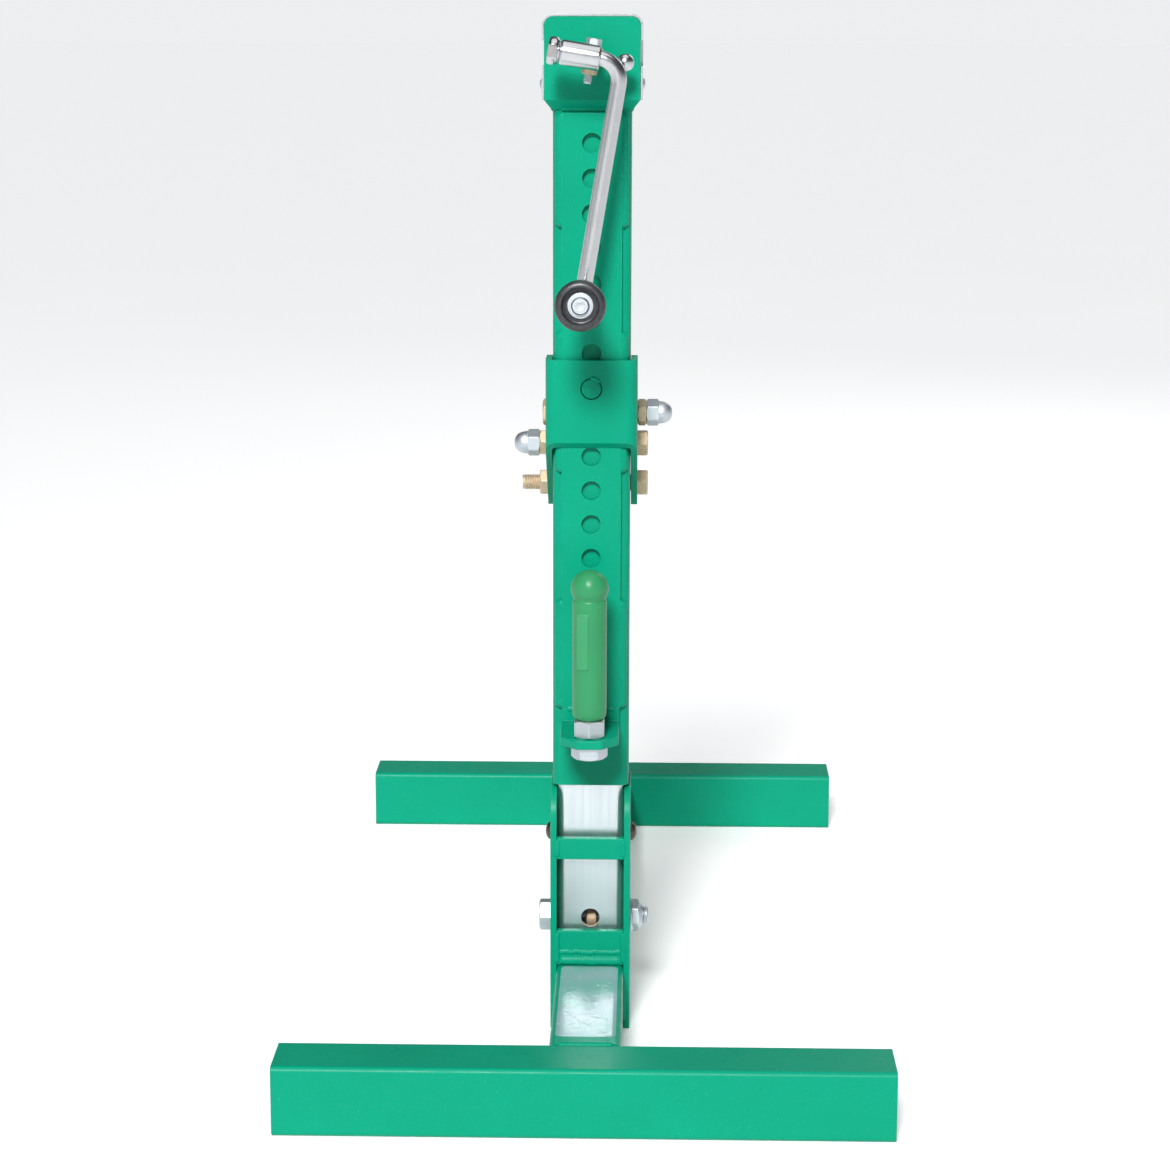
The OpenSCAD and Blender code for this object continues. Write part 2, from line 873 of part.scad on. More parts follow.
// Flat lug on the upper two bolts, with the eye that a bender hangs from
module hanger_lug() {
  color(paint)
    difference() {
      side_profile(0, lug_t) polygon(lug_outline());
      for (i = [0, 1])
        along_x(bolt_y, bolt_heights[i], -20) cylinder(d = cross_d + fit, h = 40);
      along_x(lug_y, lug_z, -20) cylinder(d = lug_hole_d, h = 40);
    }
}

module bearing_roller() {
  length = 2 * sleeve_in - 1;
  color("silver")
    along_x(bolt_y, bolt_heights[2], -length / 2)
      difference() {
        cylinder(d = roller_d, h = length);
        translate([0, 0, -1]) cylinder(d = cross_d + 0.14, h = length + 2);
      }
}

base_beam();
front_crossbar();
rear_crossbar();
beam_label();
yoke_plate_left();
yoke_plate_right();
yoke_strap_upper();
yoke_strap_lower();
inner_tube();
pivot_bolt();
pivot_lock_nut();
pivot_ring();
upper_pin();
lead_nut();
outer_tube();
perforated_strip();
head_housing();
head_cover();
head_rivets();
bearing_plate();
thrust_bearing();
shaft_bush_front();
shaft_bush_rear();
grip_bracket();
grip_bolt();
grip_nut();
grip_handle();
grip_panel();
lead_screw();
screw_gear();
crank_shaft();
shaft_pinion();
crank_collar();
collar_bolt();
collar_nut();
ball_stub();
crank_rod();
rod_head();
knob_axle();
knob();
carriage_sleeve();
lock_tooth();
cross_bolt_top();
cross_bolt_middle();
cross_bolt_bottom();
carriage_jam_nuts();
acorn_nuts();
lug_spacers();
hanger_lug();
bearing_roller();
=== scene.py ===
"""Looks of a crank-up stand for conduit bending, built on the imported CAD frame.

Every length is in metres, except in turned profiles, which are written in millimetres. Pieces take
their places from the CAD nodes' boxes. A piece either refines its node's own mesh with rounded edges,
or is turned, swept or built from a hexagon here.
"""

import json
import math

import bmesh
import bpy
from mathutils import Matrix, Vector, noise


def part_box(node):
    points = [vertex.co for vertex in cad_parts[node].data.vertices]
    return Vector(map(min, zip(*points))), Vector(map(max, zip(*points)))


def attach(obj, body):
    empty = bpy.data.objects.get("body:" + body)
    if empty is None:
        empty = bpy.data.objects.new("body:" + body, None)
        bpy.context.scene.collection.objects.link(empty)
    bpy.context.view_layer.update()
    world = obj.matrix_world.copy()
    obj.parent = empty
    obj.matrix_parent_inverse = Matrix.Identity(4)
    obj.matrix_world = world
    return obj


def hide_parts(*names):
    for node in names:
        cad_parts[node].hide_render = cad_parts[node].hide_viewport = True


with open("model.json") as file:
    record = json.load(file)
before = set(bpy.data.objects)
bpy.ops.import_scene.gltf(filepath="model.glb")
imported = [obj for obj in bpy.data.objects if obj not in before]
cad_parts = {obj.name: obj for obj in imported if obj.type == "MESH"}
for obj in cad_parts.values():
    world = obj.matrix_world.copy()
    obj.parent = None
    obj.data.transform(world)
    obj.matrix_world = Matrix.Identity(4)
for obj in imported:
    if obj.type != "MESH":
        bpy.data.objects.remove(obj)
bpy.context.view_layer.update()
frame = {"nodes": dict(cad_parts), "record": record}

MM = 0.001
SAME_POINT = 2e-6  # vertices this close are one point
HEX_SMOOTH = 24  # degrees: keeps the 34 degree chamfer of a nut crisp
BODY_OF = {node: body for body, nodes in frame["record"]["behaviour"]["bodies"].items() for node in nodes}
SLOT_OF = {part["node"]: part["material_slot"] for part in frame["record"]["subparts"]}

X_AXIS = Vector((1, 0, 0))
Y_AXIS = Vector((0, 1, 0))
Z_AXIS = Vector((0, 0, 1))


# ---------------------------------------------------------------- places from the frame


def middle(node):
    """Middle of a CAD node's box."""
    low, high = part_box(node)
    return (low + high) / 2


def joint(name):
    """A joint of the frame, by name."""
    return next(j for j in frame["record"]["behaviour"]["joints"] if j["name"] == name)


# ---------------------------------------------------------------- mesh building


def turned(profile, steps=96):
    """Surface of revolution about Z through a profile of (radius, height) points."""
    bm = bmesh.new()
    rings = []
    for radius, height in profile:
        if radius < SAME_POINT / 10:
            rings.append([bm.verts.new((0, 0, height))] * steps)
            continue
        turns = [2 * math.pi * k / steps for k in range(steps)]
        rings.append([bm.verts.new((radius * math.cos(a), radius * math.sin(a), height)) for a in turns])
    join_rings(bm, rings)
    return bm


def join_rings(bm, rings, closed=True):
    """Faces between neighbouring rings of vertices. A ring of one repeated vertex makes triangles."""
    for ring, following in zip(rings, rings[1:]):
        count = len(ring)
        for k in range(count if closed else count - 1):
            corners = [ring[k], ring[(k + 1) % count], following[(k + 1) % count], following[k]]
            distinct = list(dict.fromkeys(corners))
            if len(distinct) > 2:
                bm.faces.new(distinct)
    bmesh.ops.recalc_face_normals(bm, faces=bm.faces)


def eased(points, radius):
    """A profile with each inner corner rounded by about radius, so that edges catch the light."""
    steps = 5
    longest = 0.45  # share of a side that one corner may use
    rounded = [points[0]]
    for before, corner, after in zip(points, points[1:], points[2:]):
        a, b, c = Vector(before), Vector(corner), Vector(after)
        reach_in = min(radius, (a - b).length * longest)
        reach_out = min(radius, (c - b).length * longest)
        start = b + (a - b).normalized() * reach_in
        end = b + (c - b).normalized() * reach_out
        for k in range(steps + 1):
            t = k / steps
            rounded.append(tuple(start * (1 - t) ** 2 + b * (2 * t * (1 - t)) + end * t**2))
    rounded.append(points[-1])
    return rounded


def scaled(points):
    """A profile given in millimetres, in metres."""
    return [(r * MM, h * MM) for r, h in points]


def profile_mm(points, ease=0.5):
    """A profile given in millimetres, eased, in metres."""
    return scaled(eased(points, ease))


def arc(centre_r, centre_h, radius, start, end, steps=10):
    """Points of a profile's arc, angles in degrees from the outward direction."""
    sweep = [math.radians(start + (end - start) * k / steps) for k in range(steps + 1)]
    return [(centre_r + radius * math.cos(a), centre_h + radius * math.sin(a)) for a in sweep]


def hexagon(across_flats, height, bore=0.0, chamfer_low=True):
    """Nut or bolt head along Z from 0 to height, its corners turned off as on a real one.

    bore is the radius of the hole through it, and 0 leaves it solid."""
    bm = bmesh.new()
    steps = 96
    widest = across_flats / math.sqrt(3) * 0.985  # the corners are turned off a little
    face_r = across_flats * 0.475  # of the flat end, inside the chamfer
    slope = math.tan(math.radians(34))  # of the chamfer
    outline = []
    for k in range(steps):
        turn = 2 * math.pi * k / steps
        from_flat = (math.degrees(turn) % 60) - 30
        radius = min(across_flats / 2 / math.cos(math.radians(from_flat)), widest)
        outline.append((turn, radius))

    def ring(radius_of, height_of):
        made = []
        for turn, r in outline:
            out = radius_of(r)
            made.append(bm.verts.new((out * math.cos(turn), out * math.sin(turn), height_of(r))))
        return made

    def drop(r):
        return max(r - face_r, 0) * slope

    inner = max(bore, 1e-5)
    rings = [
        ring(lambda r: inner, lambda r: 0),
        ring(lambda r: face_r, lambda r: 0),
        ring(lambda r: r, lambda r: drop(r) if chamfer_low else 0),
        ring(lambda r: r, lambda r: height - drop(r)),
        ring(lambda r: face_r, lambda r: height),
        ring(lambda r: inner, lambda r: height),
    ]
    if bore:
        rings.append(ring(lambda r: inner, lambda r: 0))
    join_rings(bm, rings)
    bmesh.ops.remove_doubles(bm, verts=bm.verts, dist=SAME_POINT)
    return bm


def threaded(diameter, length, pitch, plain=0.0, steps=48):
    """Rod along Z from 0 to length: plain shank first, then a helical thread and a chamfered end."""
    bm = bmesh.new()
    radius = diameter / 2
    depth = pitch * 0.5
    lead_in = pitch * 1.5
    per_pitch = 8
    rows = max(int((length - plain) / pitch * per_pitch), 2)
    heights = [0.0, plain] + [plain + (length - plain) * (k + 1) / rows for k in range(rows)]
    rings = [[bm.verts.new((0, 0, 0))] * steps]
    for height in heights:
        ring = []
        for k in range(steps):
            turn = 2 * math.pi * k / steps
            phase = ((height - plain) / pitch - k / steps) % 1.0
            groove = depth * (1 - abs(2 * phase - 1)) if height > plain else 0
            end_cut = max(0.0, height - (length - lead_in)) / lead_in * depth
            r = min(radius - groove, radius - end_cut)
            ring.append(bm.verts.new((r * math.cos(turn), r * math.sin(turn), height)))
        rings.append(ring)
    rings.append([bm.verts.new((0, 0, length))] * steps)
    join_rings(bm, rings)
    return bm


def swept(path, radius_of, steps):
    """Closed tube along a path. radius_of(t) is its radius at t from 0 to 1."""
    bm = bmesh.new()
    rings = [[bm.verts.new(path[0])] * steps]
    side = None
    for i, point in enumerate(path):
        ahead = (path[min(i + 1, len(path) - 1)] - path[max(i - 1, 0)]).normalized()
        if side is None:
            side = ahead.orthogonal().normalized()
        else:
            side = (side - ahead * side.dot(ahead)).normalized()
        normal = side.cross(ahead).normalized()
        radius = radius_of(i / (len(path) - 1))
        ring = []
        for k in range(steps):
            turn = 2 * math.pi * k / steps
            offset = side * math.cos(turn) + normal * math.sin(turn)
            ring.append(bm.verts.new(point + offset * radius))
        rings.append(ring)
    rings.append([bm.verts.new(path[-1])] * steps)
    join_rings(bm, rings)
    return bm


def moved(bm, matrix):
    """The same bmesh, transformed."""
    bmesh.ops.transform(bm, matrix=matrix, verts=bm.verts)
    return bm


def merged(*parts):
    """One bmesh holding all the parts."""
    whole = bmesh.new()
    for part in parts:
        mesh = bpy.data.meshes.new("part")
        part.to_mesh(mesh)
        part.free()
        whole.from_mesh(mesh)
        bpy.data.meshes.remove(mesh)
    return whole


def aimed(origin, direction, turn=0.0):
    """Matrix that carries a shape drawn along +Z to start at origin and run along direction."""
    tilt = Vector(direction).to_track_quat("Z", "Y").to_matrix().to_4x4()
    return Matrix.Translation(origin) @ tilt @ Matrix.Rotation(turn, 4, "Z")


def link(name, data):
    """A new object in the scene that holds data."""
    made = bpy.data.objects.new(name, data)
    bpy.context.scene.collection.objects.link(made)
    return made


def add_piece(name, bm, node, material, stands_for=None, smooth=32, weighted=False):
    """Makes a piece of the object. It rides with its node's body and takes the given material.

    Edges sharper than smooth degrees stay crisp, and stands_for lists the CAD nodes that it replaces."""
    mesh = bpy.data.meshes.new(name)
    bm.to_mesh(mesh)
    bm.free()
    mesh.shade_smooth()
    mesh.set_sharp_from_angle(angle=math.radians(smooth))
    mesh.materials.append(material)
    piece = link(name, mesh)
    if weighted:
        piece.modifiers.new("even_normals", "WEIGHTED_NORMAL").keep_sharp = True
    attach(piece, BODY_OF[node])
    if stands_for:
        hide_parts(*stands_for)
    return piece


def refined(node, edge, material):
    """The node's own shape with its sharp edges rounded by edge."""
    flat = math.radians(0.5)
    sharp_from = math.radians(28)
    bm = bmesh.new()
    bm.from_mesh(frame["nodes"][node].data)
    bmesh.ops.remove_doubles(bm, verts=bm.verts, dist=SAME_POINT)
    bmesh.ops.dissolve_limit(bm, angle_limit=flat, verts=bm.verts, edges=bm.edges)
    sharp = [e for e in bm.edges if len(e.link_faces) == 2 and e.calc_face_angle() > sharp_from]
    bmesh.ops.bevel(bm, geom=sharp, offset=edge, segments=2, profile=0.5, affect="EDGES", clamp_overlap=True)
    return add_piece(f"{node}_rounded", bm, node, material, stands_for=[node], weighted=True)


# ---------------------------------------------------------------- materials


class Finish:
    """A node material under construction."""

    def __init__(self, name, colour, metallic, roughness):
        self.material = bpy.data.materials.new(name)
        self.material.use_nodes = True
        self.tree = self.material.node_tree
        self.shader = self.tree.nodes["Principled BSDF"]
        self.shader.inputs["Base Color"].default_value = (*colour, 1)
        self.shader.inputs["Metallic"].default_value = metallic
        self.shader.inputs["Roughness"].default_value = roughness
        self.place = self.node("ShaderNodeTexCoord").outputs["Object"]
        self.height = None

    def node(self, kind, links=None, values=None, **settings):
        """Adds a node. links joins its inputs to sockets, and values sets them."""
        made = self.tree.nodes.new(kind)
        for key, value in settings.items():
            setattr(made, key, value)
        for key, socket in (links or {}).items():
            self.tree.links.new(socket, made.inputs[key])
        for key, value in (values or {}).items():
            made.inputs[key].default_value = value
        return made

    def feed(self, socket, to):
        """Joins a socket to one of the shader's inputs."""
        self.tree.links.new(socket, self.shader.inputs[to])

    def noise(self, size, detail=3, stretch=(1, 1, 1), roughness=0.55):
        """Noise with features of about size metres, drawn out along an axis where stretch is above 1."""
        scale = [1 / (size * s) for s in stretch]
        place = self.node("ShaderNodeMapping", {"Vector": self.place}, {"Scale": scale})
        values = {"Scale": 1.0, "Detail": detail, "Roughness": roughness}
        return self.node("ShaderNodeTexNoise", {"Vector": place.outputs["Vector"]}, values).outputs["Fac"]

    def ramp(self, factor, stops):
        """Colour or grey value along a ramp of (position, colour) stops."""
        made = self.node("ShaderNodeValToRGB", {"Fac": factor})
        elements = made.color_ramp.elements
        while len(elements) < len(stops):
            elements.new(0.5)
        for element, (position, colour) in zip(elements, stops):
            element.position = position
            element.color = (*colour, 1) if isinstance(colour, tuple) else (colour, colour, colour, 1)
        return made.outputs["Color"]

    def mix(self, factor, first, second):
        """Blend of two colours. Each may be a socket or a plain colour; factor is a socket or a number."""
        made = self.node("ShaderNodeMix", data_type="RGBA")
        for index, value in ((0, factor), (6, first), (7, second)):
            if isinstance(value, bpy.types.NodeSocket):
                self.tree.links.new(value, made.inputs[index])
            else:
                made.inputs[index].default_value = value if index == 0 else (*value, 1)
        return made.outputs[2]

    def bump(self, factor, height, strength=1.0):
        """Raises the surface by up to height metres where factor is 1, on top of earlier bumps."""
        links = {"Height": factor}
        if self.height:
            links["Normal"] = self.height
        values = {"Distance": height, "Strength": strength}
        self.height = self.node("ShaderNodeBump", links, values).outputs["Normal"]
        self.feed(self.height, "Normal")

    def edges(self, width):
        """1 on a piece's convex and concave edges, within about width metres, and 0 on its faces."""
        face_dot = 0.98
        edge_dot = 0.8
        soft = self.node("ShaderNodeBevel", values={"Radius": width}, samples=4).outputs["Normal"]
        plain = self.node("ShaderNodeNewGeometry").outputs["Normal"]
        both = {0: soft, 1: plain}
        dot = self.node("ShaderNodeVectorMath", both, operation="DOT_PRODUCT").outputs["Value"]
        values = {"From Min": face_dot, "From Max": edge_dot, "To Min": 0.0, "To Max": 1.0}
        return self.node("ShaderNodeMapRange", {"Value": dot}, values).outputs["Result"]

    def times(self, first, second):
        """Product of two values, each a socket or a number."""
        made = self.node("ShaderNodeMath", operation="MULTIPLY")
        for index, value in enumerate((first, second)):
            if isinstance(value, bpy.types.NodeSocket):
                self.tree.links.new(value, made.inputs[index])
            else:
                made.inputs[index].default_value = value
        return made.outputs[0]


def green_paint():
    """Sprayed enamel: slight drift of tone, orange peel, fine dust, and thin worn edges."""
    paint = Finish("green_paint", (0.0, 0.3, 0.17), 0.0, 0.34)
    tone = paint.ramp(paint.noise(0.09, 4), [(0.3, (0.0, 0.238, 0.136)), (0.7, (0.0, 0.265, 0.155))])
    dust_grain = paint.ramp(paint.noise(0.0011, 2), [(0.66, 0.0), (0.74, 0.16)])
    dusted = paint.mix(dust_grain, tone, (0.16, 0.52, 0.38))
    wear_noise = paint.ramp(paint.noise(0.006, 5, roughness=0.7), [(0.5, 0.0), (0.64, 0.55)])
    worn = paint.mix(paint.times(paint.edges(0.0012), wear_noise), dusted, (0.06, 0.5, 0.33))
    paint.feed(worn, "Base Color")
    paint.feed(paint.ramp(paint.noise(0.02, 5), [(0.3, 0.27), (0.7, 0.42)]), "Roughness")
    paint.bump(paint.noise(0.0018, 2), 0.0001)
    paint.bump(paint.noise(0.012, 2), 0.0003, 0.5)
    paint.shader.inputs["Specular IOR Level"].default_value = 0.1
    return paint.material


def brushed(name, light, dark, roughness, stretch, grain=0.0005, tint=None, rim=None):
    """Bare or plated metal with fine lines along one axis, soft clouds of tone, and painted shade that
    darkens its edges toward rim.
    """
    metal = Finish(name, light, 1.0, sum(roughness) / 2)
    lines = metal.noise(grain, 3, stretch)
    clouds = metal.noise(0.012, 4)
    colour = metal.mix(metal.ramp(lines, [(0.35, 0.0), (0.65, 0.55)]), light, dark)
    colour = metal.mix(metal.ramp(clouds, [(0.45, 0.0), (0.75, 0.4)]), colour, tint or dark)
    # rim is painted shade: a darker colour laid along edges to draw a dark outline
    if rim:
        colour = metal.mix(metal.edges(0.001), colour, rim)
    metal.feed(colour, "Base Color")
    grinding = metal.noise(grain * 1.7, 4, stretch)
    metal.feed(metal.ramp(grinding, [(0.3, roughness[0]), (0.7, roughness[1])]), "Roughness")
    metal.bump(lines, 0.000003)
    return metal.material


def plated(name, light, dark, tints, roughness):
    """Plated fastener: passivation tints in clouds, small pits, and bright rubbed edges."""
    metal = Finish(name, light, 1.0, sum(roughness) / 2)
    stops = [(0.1, dark), (0.4, light), (0.62, tints[0]), (0.85, tints[1])]
    clouds = metal.ramp(metal.noise(0.004, 4), stops)
    rubbed = metal.mix(metal.times(metal.edges(0.0008), 0.6), clouds, (0.93, 0.92, 0.9))
    metal.feed(rubbed, "Base Color")
    metal.feed(metal.ramp(metal.noise(0.0015, 4), [(0.3, roughness[0]), (0.7, roughness[1])]), "Roughness")
    metal.bump(metal.noise(0.0007, 2), 0.00001)
    return metal.material


def green_plastic(name, dark, light):
    """Moulded grip: soft gloss, slight mottling, and a faint skin texture."""
    plastic = Finish(name, light, 0.0, 0.35)
    tone = plastic.ramp(plastic.noise(0.05, 2), [(0.3, dark), (0.7, light)])
    plastic.feed(tone, "Base Color")
    plastic.feed(plastic.ramp(plastic.noise(0.004, 4), [(0.3, 0.3), (0.7, 0.42)]), "Roughness")
    plastic.bump(plastic.noise(0.0012, 2), 0.00001)
    plastic.shader.inputs["Specular IOR Level"].default_value = 0.25
    return plastic.material


def black_plastic():
    """Phenolic knob: near black, satin, with fine turning texture and dust in the grain."""
    plastic = Finish("black_plastic", (0.02, 0.021, 0.024), 0.0, 0.36)
    stops = [(0.35, (0.016, 0.017, 0.02)), (0.75, (0.035, 0.036, 0.04))]
    plastic.feed(plastic.ramp(plastic.noise(0.003, 5), stops), "Base Color")
    plastic.feed(plastic.ramp(plastic.noise(0.002, 4), [(0.3, 0.28), (0.7, 0.45)]), "Roughness")
    plastic.bump(plastic.noise(0.0006, 3), 0.00005)
    plastic.shader.inputs["Specular IOR Level"].default_value = 0.6
    return plastic.material


def label_film():
    """Glossy pale film on the beam: faint green from the paint below, small bubbles and scuffs."""
    film = Finish("label_film", (0.45, 0.66, 0.66), 0.0, 0.2)
    tone = film.ramp(film.noise(0.045, 2), [(0.35, (0.17, 0.36, 0.33)), (0.6, (0.26, 0.37, 0.4))])
    scuffs = film.ramp(film.noise(0.0012, 5, (1, 9, 1)), [(0.62, 0.0), (0.72, 0.35)])
    film.feed(film.mix(scuffs, tone, (0.36, 0.46, 0.48)), "Base Color")
    film.feed(film.ramp(film.noise(0.01, 4), [(0.35, 0.12), (0.7, 0.3)]), "Roughness")
    film.bump(film.ramp(film.noise(0.0035, 1), [(0.68, 0.0), (0.78, 1.0)]), 0.00012)
    film.shader.inputs["Coat Weight"].default_value = 0.1
    film.shader.inputs["Coat Roughness"].default_value = 0.15
    return film.material


PAINT = green_paint()
ZINC_TUBE = brushed(
    "tube_zinc",
    light=(0.69, 0.75, 0.78),
    dark=(0.64, 0.7, 0.73),
    roughness=(0.3, 0.4),
    stretch=(1, 1, 200),
    grain=0.0012,
    tint=(0.66, 0.73, 0.76),
)
ZINC_SHEET = brushed(
    "sheet_zinc",
    light=(0.78, 0.8, 0.82),
    dark=(0.6, 0.63, 0.66),
    roughness=(0.18, 0.32),
    stretch=(1, 60, 1),
    # painted shade: dark outline along the cover's edges
    rim=(0.2, 0.21, 0.23),
)
STEEL = brushed(
    "polished_steel",
    light=(0.62, 0.63, 0.65),
    dark=(0.52, 0.53, 0.55),
    roughness=(0.2, 0.26),
    stretch=(1, 1, 30),
    grain=0.0007,
    # painted shade: dark outline along the edges of the crank's polished steel parts
    rim=(0.3, 0.3, 0.31),
)
PLAIN = brushed(
    "oiled_steel",
    light=(0.42, 0.41, 0.4),
    dark=(0.26, 0.25, 0.24),
    roughness=(0.3, 0.46),
    stretch=(1, 1, 12),
)
BRONZE = brushed(
    "bronze",
    light=(0.62, 0.42, 0.2),
    dark=(0.46, 0.3, 0.14),
    roughness=(0.3, 0.42),
    stretch=(12, 1, 1),
)
BLUE_ZINC = plated(
    "blue_zinc",
    light=(0.55, 0.59, 0.62),
    dark=(0.44, 0.48, 0.51),
    tints=((0.52, 0.58, 0.63), (0.6, 0.61, 0.58)),
    roughness=(0.44, 0.56),
)
YELLOW_ZINC = plated(
    "yellow_zinc",
    light=(0.6, 0.48, 0.34),
    dark=(0.45, 0.34, 0.23),
    tints=((0.64, 0.52, 0.37), (0.56, 0.46, 0.38)),
    roughness=(0.58, 0.68),
)
RING_ZINC = plated(
    "ring_zinc",
    light=(0.62, 0.46, 0.32),
    dark=(0.5, 0.36, 0.25),
    tints=((0.66, 0.5, 0.35), (0.58, 0.44, 0.34)),
    roughness=(0.6, 0.72),
)
DARK_STEEL = plated(
    "dark_steel",
    light=(0.1, 0.085, 0.075),
    dark=(0.05, 0.04, 0.036),
    tints=((0.14, 0.11, 0.09), (0.09, 0.09, 0.09)),
    roughness=(0.3, 0.5),
)
GRIP = green_plastic("green_plastic", (0.024, 0.215, 0.082), (0.03, 0.235, 0.092))
# lighter than the grip: painted highlight that makes the raised panel stand out
GRIP_PANEL = green_plastic("painted_highlight_green_plastic", (0.034, 0.245, 0.1), (0.042, 0.265, 0.112))
KNOB = black_plastic()
FILM = label_film()
SLOT_MATERIAL = {
    "green_paint": PAINT,
    "bright_zinc": BLUE_ZINC,
    "yellow_zinc": YELLOW_ZINC,
    "polished_steel": STEEL,
    "dark_steel": DARK_STEEL,
    "plain_steel": PLAIN,
    "bronze": BRONZE,
    "green_plastic": GRIP,
    "black_plastic": KNOB,
    "label_film": FILM,
}


# ---------------------------------------------------------------- base, yoke and mast


def weld_bead(name, node, path, radius, facing, ripple=2.2 * MM, seed=0):
    """Weld bead along a path: a flat oval rope with crescent ripples, rounded ends and uneven width.

    facing is the direction that the bead's crown points in."""
    steps = 18
    rings_per_ripple = 5
    crown_share = 0.62  # height of the bead for its width
    ripple_depth = 0.07
    unevenness = 0.12
    length = sum((b - a).length for a, b in zip(path, path[1:]))
    count = max(int(length / ripple * rings_per_ripple), 8)
    points = [along(path, k / count) for k in range(count + 1)]
    up = Vector(facing).normalized()
    bm = bmesh.new()
    rings = [[bm.verts.new(points[0])] * steps]
    for i, point in enumerate(points[1:-1], 1):
        ahead = (points[i + 1] - points[i - 1]).normalized()
        across = ahead.cross(up).normalized()
        crown = across.cross(ahead).normalized()
        travelled = length * i / count
        from_end = min(travelled, length - travelled)
        cap = math.sqrt(max(1 - (1 - min(from_end / radius, 1)) ** 2, 0.02))
        uneven = 1 + unevenness * noise.noise(Vector((travelled * 90, seed * 7.3, 0)))
        ring = []
        for k in range(steps):
            turn = 2 * math.pi * k / steps
            lag = 0.35 * (1 - math.sin(turn)) * ripple
            wave = abs(math.sin(math.pi * (travelled + lag) / ripple))
            r = radius * cap * uneven * (1 - ripple_depth + ripple_depth * wave)
            sideways = across * (r * math.cos(turn))
            ring.append(bm.verts.new(point + sideways + crown * (r * crown_share * math.sin(turn))))
        rings.append(ring)
    rings.append([bm.verts.new(points[-1])] * steps)
    join_rings(bm, rings)
    return add_piece(name, bm, node, PAINT, smooth=60)


def along(path, t):
    """Point at the share t of a path's length, from 0 to 1."""
    lengths = [(b - a).length for a, b in zip(path, path[1:])]
    left = sum(lengths) * t
    for (a, b), step in zip(zip(path, path[1:]), lengths):
        if left <= step:
            return a.lerp(b, left / step if step else 0)
        left -= step
    return path[-1].copy()


def straight_bead(name, node, start, end, radius, facing, seed=0):
    """Weld bead between two points."""
    return weld_bead(name, node, [Vector(start), Vector(end)], radius, facing, seed=seed)


PAINTED_EDGES = {  # radius of each node's softened edges, in millimetres
    "base_beam": 0.4,
    "front_crossbar": 0.5,
    "rear_crossbar": 0.5,
    "yoke_plate_left": 0.6,
    "yoke_plate_right": 0.6,
    "yoke_strap_upper": 0.7,
    "yoke_strap_lower": 0.7,
    "outer_tube": 0.4,
    "perforated_strip": 0.35,
    "head_housing": 0.6,
    "grip_bracket": 0.7,
    "carriage_sleeve": 0.6,
    "hanger_lug": 0.8,
}


def painted_weldments():
    """Painted plates and tubes, with the softened edges that the enamel leaves."""
    for node, edge in PAINTED_EDGES.items():
        refined(node, edge * MM, PAINT)


def base_welds():
    """Beads where the beam meets each crossbar, and where the yoke plates meet the beam."""
    low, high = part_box("base_beam")
    top = high.z - 0.2 * MM
    top_inset = 5 * MM
    side_inset = 4 * MM
    for end, y in (("front", low.y), ("rear", high.y)):
        inward = 1 if end == "front" else -1
        start = (low.x + top_inset, y, top)
        stop = (high.x - top_inset, y, top)
        straight_bead(f"weld_beam_{end}_top", "base_beam", start, stop, 3 * MM, Z_AXIS)
        for side, x in (("left", low.x), ("right", high.x)):
            facing = Vector((-1 if side == "left" else 1, inward, 0))
            start = (x, y, side_inset)
            stop = (x, y, high.z - side_inset)
            straight_bead(f"weld_beam_{end}_{side}", "base_beam", start, stop, 3.4 * MM, facing, seed=1)
    bead_foot = 6 * MM
    bead_top = 46 * MM
    for side, sign in (("left", -1), ("right", 1)):
        node = f"yoke_plate_{side}"
        low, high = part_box(node)
        x = low.x if sign > 0 else high.x
        for end, y in (("front", low.y), ("rear", high.y)):
            facing = Vector((sign, -1 if end == "front" else 1, 0))
            start = (x, y, bead_foot)
            stop = (x, y, bead_top)
            straight_bead(f"weld_plate_{side}_{end}", node, start, stop, 3.2 * MM, facing, seed=2)


def yoke_welds():
    """Beads along the ends of both straps, and two that wander across the foot of the lower one."""
    for name in ("upper", "lower"):
        node = f"yoke_strap_{name}"
        low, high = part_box(node)
        y = low.y + 0.6 * MM
        inset = 1.5 * MM
        for side, x in (("left", low.x), ("right", high.x)):
            facing = Vector((-0.5 if side == "left" else 0.5, -1, 0))
            start = (x, y, low.z + inset)
            stop = (x, y, high.z - inset)
            straight_bead(f"weld_strap_{name}_{side}", node, start, stop, 2.4 * MM, facing, seed=3)
    low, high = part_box("yoke_strap_lower")
    y = low.y + 0.9 * MM
    inset = 1 * MM
    knots = 14
    for name, up, radius, wander in (("foot", 4.2, 4.4, 0.5), ("seam", 10.8, 2.6, 1.3)):
        path = []
        for k in range(knots + 1):
            x = low.x + inset + (high.x - low.x - 2 * inset) * k / knots
            drift = wander * noise.noise(Vector((k * 0.9, up, 0)))
            path.append(Vector((x, y, low.z + (up + drift) * MM)))
        weld_bead(f"weld_strap_{name}", "yoke_strap_lower", path, radius * MM, (0, -1, 0.5), seed=4)


def mast_welds():
    """Stitch beads that hold the perforated strip, in three runs a side, with hooked ends."""
    low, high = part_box("perforated_strip")
    runs = {"top": (0.613, 0.6885), "middle": (0.433, 0.530), "foot": (0.254, 0.330)}  # lower and upper ends
    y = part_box("outer_tube")[0].y - 1.2 * MM
    hook_y = y - 2.6 * MM
    for side, x in (("left", low.x), ("right", high.x)):
        sign = -1 if side == "left" else 1
        facing = (sign * 0.6, -1, 0)
        out = x + sign * 1.5 * MM
        hook = x - sign * 1.8 * MM
        for run, (bottom, top) in runs.items():
            path = [
                Vector((hook, hook_y, bottom + 2 * MM)),
                Vector((out, y, bottom)),
                Vector((out, y, top)),
                Vector((hook, hook_y, top - 1 * MM)),
            ]
            name = f"weld_strip_{side}_{run}"
            weld_bead(name, "perforated_strip", path, 3.9 * MM, facing, seed=len(run))


